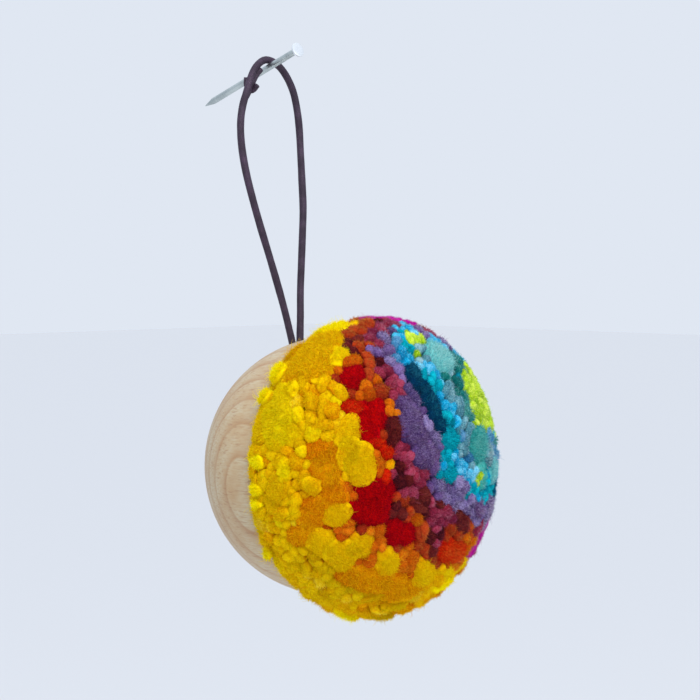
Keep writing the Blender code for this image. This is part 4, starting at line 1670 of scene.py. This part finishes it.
@dataclass
class PomPom:
    """The bun of cut yarn: wide roving ends, thin ends packed between them, and loose fibres.

    Sizes of ends are in millimetres, and so are their lift and how unevenly they are trimmed.
    """

    bun: TrimmedBun = field(default_factory=TrimmedBun)
    wool: WoolEffect = field(default_factory=WoolEffect)
    roving_shade: float = 0.35
    roving_lift: Pair = (0.1, 0.04)
    roving_lean: float = 0.02
    candidates: int = 42000
    end_radius: Pair = (1.05, 1.8)
    fine_radius: float = 0.98
    fine_spread: Pair = (0.9, 1.1)
    fine_dyes: tuple[Dye, ...] = (Dye.LIME, Dye.MAGENTA, Dye.SKY, Dye.TEAL, Dye.AQUA, Dye.MIST)
    packing: float = 0.88
    roving_gap: float = 0.62
    oval: Pair = (0.76, 1.32)
    end_shade: float = 0.42
    end_lean: float = 0.14
    trim_limits: Pair = (-1.8, 1.0)
    trim_uneven: float = 0.25
    rim_uneven: float = 0.9
    colour_wander: float = 0.8
    stray_share: float = 0.2
    lump_size: float = 1.1 * MM
    lump_height: float = 0.14 * MM
    nap_density: float = 14.5
    nap_length: float = 0.95 * MM
    nap_radius: float = 0.078 * MM
    nap_on_rovings: float = 1.1
    loose_density: float = 0.8
    loose_length: float = 1.7 * MM
    loose_radius: float = 0.035 * MM
    heart_depth: float = 3.0
    heart_stride: int = 12
    heart_steps: int = 96
    heart_edge: float = math.radians(50)
    seed: int = 5

    def build(self) -> list[Object]:
        """Winds, trims and dyes the pom pom.

        Returns:
            The yarn pieces, by dye.
        """
        draw = np.random.default_rng(self.seed)
        wide = self.lay_rovings(draw)
        small = self.pack_ends(draw, wide)
        tufts = wide.joined(small)
        log.info("%d roving ends and %d thin ends", len(wide), len(small))
        shears = Shears(self.bun)
        split = np.split(np.arange(len(tufts)), [len(wide)])
        kinds = [
            (shape, rows, shears.outlines(tufts, rows, shape))
            for shape, rows in zip((WIDE_TUFT, SMALL_TUFT), split)
        ]
        wool = self.wool.group()
        felt, fuzz = felting_tree(), fuzz_tree()
        # The heart carries no tip, so its mustard wool is painted wholly in its deep crease shade.
        pieces = [self.backing(Dye.MUSTARD.value.material("backing", wool))]
        for dye in Dye:
            blocks = []
            for shape, rows, outline in kinds:
                own = tufts.dye[rows] == dye.number
                blocks.append(shears.cut(tufts.take(rows[own]), outline.of(own), shape))
            pieces += self.dress(dye, blocks, wool, felt, fuzz)
        return pieces

    def laid(self, patch: Roving) -> tuple[Array, Array, Array, Array]:
        """Lays a patch of the flat map on the bun.

        Args:
            patch: The patch.

        Returns:
            Its centre, its two axes and its two half sizes there.
        """
        turn = math.radians(patch.turn)
        axes = np.array([[math.cos(turn), math.sin(turn)], [-math.sin(turn), math.cos(turn)]])
        middle = np.array([patch.u, patch.v])
        ends = axes * np.array([[patch.half_long], [patch.half_wide]])
        centre = self.bun.place(*middle)
        spans = np.array([self.bun.place(*(middle + e)) - self.bun.place(*(middle - e)) for e in ends]) / 2
        outward = self.bun.outward(centre)
        spans -= np.outer(spans @ outward, outward)
        sizes, ways = np.linalg.svd(spans, full_matrices=False)[1:]
        along = ways[0] - outward * (ways[0] @ outward)
        along /= np.linalg.norm(along)
        return centre, along, np.cross(outward, along), sizes[:2]

    def lay_rovings(self, draw: np.random.Generator) -> Tufts:
        """Turns the placed patches on the flat map into tufts on the bun."""
        count = len(ROVINGS)
        return Tufts(
            *(np.array(column) for column in zip(*map(self.laid, ROVINGS))),
            np.array([patch.dye.number for patch in ROVINGS]),
            draw.uniform(-self.roving_shade, self.roving_shade, count),
            draw.normal(*self.roving_lift, count) + np.array([patch.lift for patch in ROVINGS]),
            draw.normal(0.0, self.roving_lean, (count, 2)),
            np.array([patch.nap for patch in ROVINGS]) * self.nap_on_rovings,
            np.ones(count, bool),
        )

    def pack_ends(self, draw: np.random.Generator, wide: Tufts) -> Tufts:
        """Fills the surface between the rovings with thin strand ends."""
        spots = self.bun.scatter(draw, self.candidates)
        places = self.bun.flat(spots)
        dyes = self.dyes_at(places, draw)
        radii = draw.uniform(*self.end_radius, len(spots))
        fine = np.isin(dyes, [dye.number for dye in self.fine_dyes])
        radii[fine] = self.fine_radius * draw.uniform(*self.fine_spread, fine.sum())
        kept = self.packed(spots, radii, wide)
        centre, radii, dyes, count = spots[kept], radii[kept], dyes[kept], len(kept)
        outward = self.bun.outward(centre)
        any_way = draw.normal(size=centre.shape)
        along = any_way - outward * np.sum(any_way * outward, axis=1, keepdims=True)
        along /= np.linalg.norm(along, axis=1, keepdims=True)
        near_rim = self.bun.near_rim(np.hypot(*places[kept].T))
        uneven = self.trim_uneven + (self.rim_uneven - self.trim_uneven) * near_rim
        oval = draw.uniform(*self.oval, count)
        return Tufts(
            centre,
            along,
            np.cross(outward, along),
            np.stack([radii * oval, radii / oval], 1),
            dyes,
            np.clip(draw.normal(0.0, self.end_shade, count), -1, 1),
            np.clip(draw.normal(0.0, 1.0, count), *self.trim_limits) * uneven,
            draw.normal(0.0, self.end_lean, (count, 2)),
            np.ones(count),
            np.zeros(count, bool),
        )

    def packed(self, spots: Array, radii: Array, wide: Tufts) -> list[int]:
        """Takes spots in turn, where no roving and no earlier spot lies too near.

        Args:
            spots: The spots.
            radii: The radius of the thin end that each would hold.
            wide: The rovings.

        Returns:
            The numbers of the spots that are taken.
        """
        clear = np.ones(len(spots), bool)
        for row in range(len(wide)):
            clear &= wide.edge_gap(np.full(len(spots), row), spots) > self.roving_gap * radii
        kept: list[int] = []
        for i in np.flatnonzero(clear):
            gaps = np.linalg.norm(spots[kept] - spots[i], axis=1)
            if not np.any(gaps < self.packing * (radii[kept] + radii[i])):
                kept.append(i)
        return kept

    def dyes_at(self, places: Array, draw: np.random.Generator) -> Array:
        """The number of the dye of the run nearest to each place, with a little wander."""
        numbers = np.array([run.dye.number for run in RUNS])
        distances = np.stack([run.distance(places) for run in RUNS], 1)
        distances += draw.normal(0.0, self.colour_wander, distances.shape)
        numbers = numbers[np.argmin(distances, axis=1)]
        strays = numbers.copy()
        for dye, others in STRAYS.items():
            own = np.flatnonzero(numbers == dye.number)
            strayed = own[draw.random(len(own)) < self.stray_share]
            strays[strayed] = draw.choice([other.number for other in others], len(strayed))
        return strays

    def dress(
        self, dye: Dye, blocks: Sequence[Block], wool: NodeTree, felt: NodeTree, fuzz: NodeTree
    ) -> list[Object]:
        """Makes the tufts and the loose fibres of one dye.

        Args:
            dye: The dye.
            blocks: The dye's cut tufts.
            wool: The shared wool group.
            felt: The tree that felts the tufts.
            fuzz: The tree that raises fibres on them.

        Returns:
            The pieces, or none if the dye has no tuft.
        """
        if not sum(len(block.points) for block in blocks):
            return []
        name = dye.name.lower()
        material = dye.value.material(name, wool)
        tufts = new_piece(f"yarn_{name}", joined_mesh(f"yarn_{name}", blocks), material)
        lumps = {"Lump Size": self.lump_size, "Lump Height": self.lump_height, "Wool": material}
        set_tree(tufts, felt, lumps)
        made_plain(tufts)
        fibres = new_piece(f"fibres_{name}", tufts.data.copy(), material)
        sizes = {
            "Nap Density": self.nap_density / MM**2,
            "Nap Length": self.nap_length,
            "Nap Thickness": self.nap_radius,
            "Loose Density": self.loose_density / MM**2,
            "Loose Length": self.loose_length,
            "Loose Thickness": self.loose_radius,
            "Seed": dye.number,
            "Wool": material,
        }
        set_tree(fibres, fuzz, sizes)
        made_plain(fibres)
        faces = [sum(len(face.vertices) - 2 for face in piece.data.polygons) for piece in (tufts, fibres)]
        log.info("%s: %d triangles in tufts and %d in fibres", name, *faces)
        return [fit(piece, "yarn", "yarn_pom_pom") for piece in (tufts, fibres)]

    def backing(self, material: Material) -> Object:
        """The pressed heart of the yarn, under the tufts, with its flat foot on the wood."""
        table = self.bun.meridian[:: self.heart_stride]
        rays = np.stack([np.sin(table[:, 3]), np.zeros(len(table)), np.cos(table[:, 3])], 1)
        line = self.bun.sink(rays, self.heart_depth)
        line[:, 2] = np.maximum(line[:, 2], self.bun.foot)
        profile = [(0.0, line[0, 2] * MM)] + [(r * MM, h * MM) for r, _, h in line[1:]]
        profile.append((0.0, self.bun.foot * MM))
        place = Matrix.Translation(Vector(self.bun.centre) * MM) @ FRONTWARD
        mesh = smooth_mesh(turned_mesh("yarn_heart", profile, self.heart_steps, place), self.heart_edge)
        return fit(new_piece("yarn_heart", mesh, material), "yarn", "yarn_pom_pom")


def joined_mesh(name: str, blocks: Sequence[Block]) -> Mesh:
    """One mesh of several blocks of tufts, with their attributes.

    Args:
        name: The mesh's name.
        blocks: The blocks.

    Returns:
        The mesh.
    """
    starts = np.cumsum([0] + [len(block.points) for block in blocks])
    points = np.concatenate([block.points for block in blocks])
    faces = np.concatenate([block.faces + start for block, start in zip(blocks, starts)])
    mesh = bpy.data.meshes.new(name)
    corners = [(a, b, c) if c == d else (a, b, c, d) for a, b, c, d in faces.tolist()]
    mesh.from_pydata(points.tolist(), [], corners)
    for title in ("tip", "shade", "pile", "grow"):
        values = np.concatenate([getattr(block, title) for block in blocks]).astype(np.float32)
        mesh.attributes.new(title, "FLOAT", "POINT").data.foreach_set("value", values)
    return smooth_mesh(mesh)


# ---- Geometry Nodes ----


def geometry_tree(name: str, inputs: dict[str, str]) -> NodeBench:
    """Starts a Geometry Nodes tree with named inputs.

    Args:
        name: The tree's name.
        inputs: For each input's name, its type.

    Returns:
        The bench on which the tree is built.
    """
    tree = bpy.data.node_groups.new(name, "GeometryNodeTree")
    for title, kind in {"Geometry": "Geometry", **inputs}.items():
        tree.interface.new_socket(title, in_out="INPUT", socket_type=f"NodeSocket{kind}")
    tree.interface.new_socket("Geometry", in_out="OUTPUT", socket_type="NodeSocketGeometry")
    return NodeBench(tree)


def finished_tree(bench: NodeBench, geometry: NodeSocket, wool: NodeSocket) -> NodeTree:
    """Ends a tree: its copies are made real and its geometry takes its finish.

    Args:
        bench: The bench of the tree.
        geometry: The geometry.
        wool: The finish.

    Returns:
        The tree.
    """
    real = bench.add("GeometryNodeRealizeInstances", {0: geometry})
    dyed = bench.add("GeometryNodeSetMaterial", {"Geometry": real.outputs[0], "Material": wool})
    bench.add("NodeGroupOutput", {0: dyed.outputs[0]})
    return bench.tree


def set_tree(piece: Object, tree: NodeTree, values: dict[str, Any]) -> None:
    """Gives a piece a Geometry Nodes modifier and sets its inputs.

    Args:
        piece: The piece.
        tree: The tree.
        values: For each input's name, its value.
    """
    modifier = piece.modifiers.new(tree.name, "NODES")
    modifier.node_group = tree
    for item in tree.interface.items_tree:
        if item.item_type == "SOCKET" and item.in_out == "INPUT" and item.name in values:
            modifier[item.identifier] = values[item.name]


def felting_tree() -> NodeTree:
    """The tree that felts tufts: it lifts and sinks their tips in small uneven lumps.

    Returns:
        The tree.
    """
    inputs = {"Lump Size": "Float", "Lump Height": "Float", "Wool": "Material"}
    bench = geometry_tree("felted_tufts", inputs)
    given = bench.add("NodeGroupInput").outputs
    tip = bench.carried("tip")
    scale = bench.maths("DIVIDE", 1.0, given["Lump Size"])
    lumps = bench.noise(bench.add("GeometryNodeInputPosition").outputs[0], scale, 2.0, 0.6)
    height = bench.maths("MULTIPLY", bench.maths("MULTIPLY_ADD", lumps, 4.0, -2.0), given["Lump Height"])
    offset = bench.add(
        "ShaderNodeVectorMath",
        {0: bench.add("GeometryNodeInputNormal").outputs[0], "Scale": bench.maths("MULTIPLY", height, tip)},
        operation="SCALE",
    )
    moving = {"Geometry": given["Geometry"], "Offset": offset.outputs[0]}
    moved = bench.add("GeometryNodeSetPosition", moving)
    return finished_tree(bench, moved.outputs[0], given["Wool"])


def fuzz_tree() -> NodeTree:
    """The tree that raises a dense short nap and a few long loose fibres on the tips of tufts.

    Returns:
        The tree.
    """
    sizes = [f"{kind} {size}" for kind in ("Nap", "Loose") for size in ("Density", "Length", "Thickness")]
    inputs = {**dict.fromkeys(sizes, "Float"), "Seed": "Int", "Wool": "Material"}
    bench = geometry_tree("wool_fibres", inputs)
    given = bench.add("NodeGroupInput").outputs
    nap = bench.add(
        "GeometryNodeMeshCone",
        {
            "Vertices": 3,
            "Side Segments": 1,
            "Fill Segments": 1,
            "Radius Top": 0.0,
            "Radius Bottom": given["Nap Thickness"],
            "Depth": given["Nap Length"],
        },
        fill_type="NGON",
    ).outputs[0]
    loose = bent_fibre(bench, given["Loose Length"], given["Loose Thickness"])
    short = stood_on(bench, given, nap, given["Nap Density"], NAP)
    long = stood_on(bench, given, loose, given["Loose Density"], LOOSE_FIBRES)
    joined = bench.add("GeometryNodeJoinGeometry", {0: long})
    bench.feed(joined.inputs[0], short)
    return finished_tree(bench, joined.outputs[0], given["Wool"])


@dataclass(frozen=True)
class Stand:
    """How fibres stand on tufts.

    Leans are in degrees. The fluff is how much more densely they stand where the nap is longer, as
    a power of its length, and the tip power does the same nearer the tip. The seed is added to the
    tree's. Each fibre's shade strays from its tuft's, and none takes as much painted crease shade as
    the deepest crease does.
    """

    lean: Pair
    size: Pair
    fluff: float
    seed: int
    tip_power: float = 0.8
    shade: float = 1.3
    deepest_tip: float = 0.35


NAP = Stand((10.0, 68.0), (0.5, 1.25), 0.0, 3)
LOOSE_FIBRES = Stand((25.0, 80.0), (0.5, 1.6), 3.0, 17)


def stood_on(
    bench: NodeBench, given: Any, shape: NodeSocket, density: NodeSocket, stand: Stand
) -> NodeSocket:
    """Copies of a shape that stand on the tips of the tree's tufts, each leaning its own way.

    Args:
        bench: The bench of the tree.
        given: The tree's inputs.
        shape: The shape, which stands on the origin.
        density: How many there are to a square metre.
        stand: How they stand.

    Returns:
        The instances.
    """

    def random(low: float, high: float, shift: int) -> NodeSocket:
        """A random value for each copy."""
        limits = {2: low, 3: high, "Seed": stand.seed + shift}
        return bench.add("FunctionNodeRandomValue", limits, data_type="FLOAT").outputs[1]

    def stored(geometry: NodeSocket, name: str, value: NodeSocket) -> NodeSocket:
        """The geometry with a value on its points."""
        inputs = {"Geometry": geometry, "Name": name, "Value": value}
        store = bench.add("GeometryNodeStoreNamedAttribute", inputs, data_type="FLOAT", domain="POINT")
        return store.outputs[0]

    tip, shade, pile, grow = (bench.carried(name) for name in ("tip", "shade", "pile", "grow"))
    share = bench.maths("MULTIPLY", density, bench.maths("POWER", pile, stand.fluff))
    cover = bench.maths("MULTIPLY", bench.maths("POWER", tip, stand.tip_power), grow)
    spots = bench.add(
        "GeometryNodeDistributePointsOnFaces",
        {
            "Mesh": given["Geometry"],
            "Density": bench.maths("MULTIPLY", share, cover),
            "Seed": bench.maths("ADD", given["Seed"], float(stand.seed)),
        },
    ).outputs
    own_shade = bench.maths("ADD", shade, random(-stand.shade, stand.shade, 1))
    # Fibres stand clear of the creases, so each takes less of the painted crease shade than its root.
    own_tip = bench.maths("MULTIPLY_ADD", tip, 1 - stand.deepest_tip, stand.deepest_tip)
    points = stored(stored(spots["Points"], "shade", own_shade), "tip", own_tip)
    turn = {"X": random(*map(math.radians, stand.lean), 2), "Z": random(0.0, 2 * math.pi, 3)}
    spin = bench.add("ShaderNodeCombineXYZ", turn).outputs[0]
    leant = bench.add("FunctionNodeRotateRotation", {0: spots["Rotation"], 1: spin}, rotation_space="LOCAL")
    placed = bench.add(
        "GeometryNodeInstanceOnPoints",
        {
            "Points": points,
            "Instance": shape,
            "Rotation": leant.outputs[0],
            "Scale": bench.maths("MULTIPLY", random(*stand.size, 4), pile),
        },
    )
    return placed.outputs[0]


# A bent fibre's stops to the side and up, as shares of its length, and how much thinner its end is
FIBRE_BEND = {"Start": (0.0, -0.12), "Middle": (0.0, 0.55), "End": (0.5, 0.8)}
FIBRE_TAPER = 0.65


def bent_fibre(bench: NodeBench, length: NodeSocket, radius: NodeSocket) -> NodeSocket:
    """One bent, tapered three-sided fibre that stands on the origin.

    Args:
        bench: The bench of the tree that uses it.
        length: Its length.
        radius: Its radius at the root.

    Returns:
        The fibre's mesh.
    """
    stops: dict[str, Any] = {"Resolution": 2}
    for name, (side, up) in FIBRE_BEND.items():
        stop = {"X": bench.maths("MULTIPLY", length, side), "Z": bench.maths("MULTIPLY", length, up)}
        stops[name] = bench.add("ShaderNodeCombineXYZ", stop).outputs[0]
    line = bench.add("GeometryNodeCurveQuadraticBezier", stops)
    factor = bench.add("GeometryNodeSplineParameter").outputs["Factor"]
    taper = bench.maths("MULTIPLY_ADD", factor, -FIBRE_TAPER, 1.0)
    tapered = bench.add("GeometryNodeSetCurveRadius", {"Curve": line.outputs[0], "Radius": taper})
    section = bench.add("GeometryNodeCurvePrimitiveCircle", {"Resolution": 3, "Radius": radius})
    fibre = bench.add(
        "GeometryNodeCurveToMesh",
        {"Curve": tapered.outputs[0], "Profile Curve": section.outputs[0], "Fill Caps": True},
    )
    if "Scale" in fibre.inputs:
        bench.feed(fibre.inputs["Scale"], bench.add("GeometryNodeInputRadius").outputs[0])
    return fibre.outputs[0]


# ---- Stage ----


def aimed(name: str, data: Any, place: Sequence[float], way: Vector) -> Object:
    """Puts a camera or a light into the scene and points it.

    Args:
        name: Its name.
        data: The camera's or light's data.
        place: Where it is.
        way: Where it points.

    Returns:
        The object.
    """
    thing = bpy.data.objects.new(name, data)
    thing.location = place
    thing.rotation_mode = "QUATERNION"
    thing.rotation_quaternion = way.to_track_quat("-Z", "Y")
    bpy.context.scene.collection.objects.link(thing)
    return thing


@dataclass(frozen=True)
class Softbox:
    """A square soft light that looks at the pom pom, with its side in metres and its power in watts."""

    name: str
    place: Point
    side: float
    power: float
    colour: Colour
    target: Point = (0.0, -0.035, -0.1)

    def hang(self) -> None:
        """Hangs it."""
        data = bpy.data.lights.new(self.name, "AREA")
        data.shape, data.size, data.energy, data.color = "SQUARE", self.side, self.power, self.colour
        aimed(self.name, data, self.place, Vector(self.target) - Vector(self.place))


@dataclass
class Studio:
    """Plain pale floor, soft light and the camera."""

    camera_place: Point = (-0.645968, -0.687091, -0.034505)
    camera_pitch: float = math.radians(-2.41)
    camera_turn: float = math.radians(-45.0)
    lens: float = 174.86
    sensor: float = 36.0
    floor_height: float = -0.5
    floor_reach: float = 9.0
    horizon: Colour = linear(224, 231, 242)
    zenith: float = 1.45
    floor_colour: Colour = (0.7, 0.7, 0.705)
    floor_roughness: float = 0.9
    softboxes: tuple[Softbox, ...] = (
        Softbox("key", (-0.7, -1.15, 1.05), 0.9, 19.5, (1.0, 0.97, 0.92)),
        Softbox("fill", (0.5, -1.4, 0.3), 0.9, 2.5, (0.95, 0.97, 1.0)),
    )

    def build(self) -> None:
        """Sets the stage."""
        self.set_camera()
        self.lay_floor()
        self.light()

    def set_camera(self) -> None:
        """Places the camera."""
        turn, pitch = self.camera_turn, self.camera_pitch
        level = math.cos(pitch)
        ahead = Vector((-math.sin(turn) * level, math.cos(turn) * level, math.sin(pitch)))
        data = bpy.data.cameras.new("camera")
        data.lens, data.sensor_width, data.clip_start, data.clip_end = self.lens, self.sensor, 0.01, 60.0
        bpy.context.scene.camera = aimed("camera", data, self.camera_place, ahead)

    def lay_floor(self) -> None:
        """Lays the floor."""
        reach, height = self.floor_reach, self.floor_height
        corners = [(x * reach, y * reach, height) for x, y in ((-1, -1), (1, -1), (1, 1), (-1, 1))]
        mesh = bpy.data.meshes.new("studio_floor")
        mesh.from_pydata(corners, [], [(0, 1, 2, 3)])
        material = bpy.data.materials.new("pale_floor")
        material.use_nodes = True
        shader = material.node_tree.nodes["Principled BSDF"]
        shader.inputs["Base Color"].default_value = (*self.floor_colour, 1.0)
        shader.inputs["Roughness"].default_value = self.floor_roughness
        new_piece("studio_floor", mesh, material)

    def light(self) -> None:
        """Lights the stage with a pale sky and the softboxes."""
        world = bpy.data.worlds.new("pale_studio")
        world.use_nodes = True
        bench = NodeBench(world.node_tree)
        way = bench.add("ShaderNodeTexCoord").outputs["Generated"]
        height = bench.add("ShaderNodeSeparateXYZ", {0: way}).outputs[2]
        overhead = tuple(channel * self.zenith for channel in self.horizon)
        colour = bench.blend(bench.spread(height, 0.15, 0.8, 0.0, 1.0), self.horizon, overhead)
        sky = bench.add("ShaderNodeBackground", {"Color": colour, "Strength": 1.0})
        bench.add("ShaderNodeOutputWorld", {"Surface": sky.outputs[0]})
        bpy.context.scene.world = world
        for softbox in self.softboxes:
            softbox.hang()


def main() -> None:
    """Builds the whole scene."""
    logging.basicConfig(level=logging.INFO, format="%(name)s: %(message)s")
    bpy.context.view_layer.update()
    bpy.context.scene.view_settings.view_transform = "Standard"
    Studio().build()
    log.info("cord: %s", HangingCord().build().name)
    log.info("nail: %s", WireNail().build().name)
    log.info("half ball: %s", HalfBall().build().name)
    log.info("pom pom: %d pieces", len(PomPom().build()))


if __name__ == "__main__":
    main()
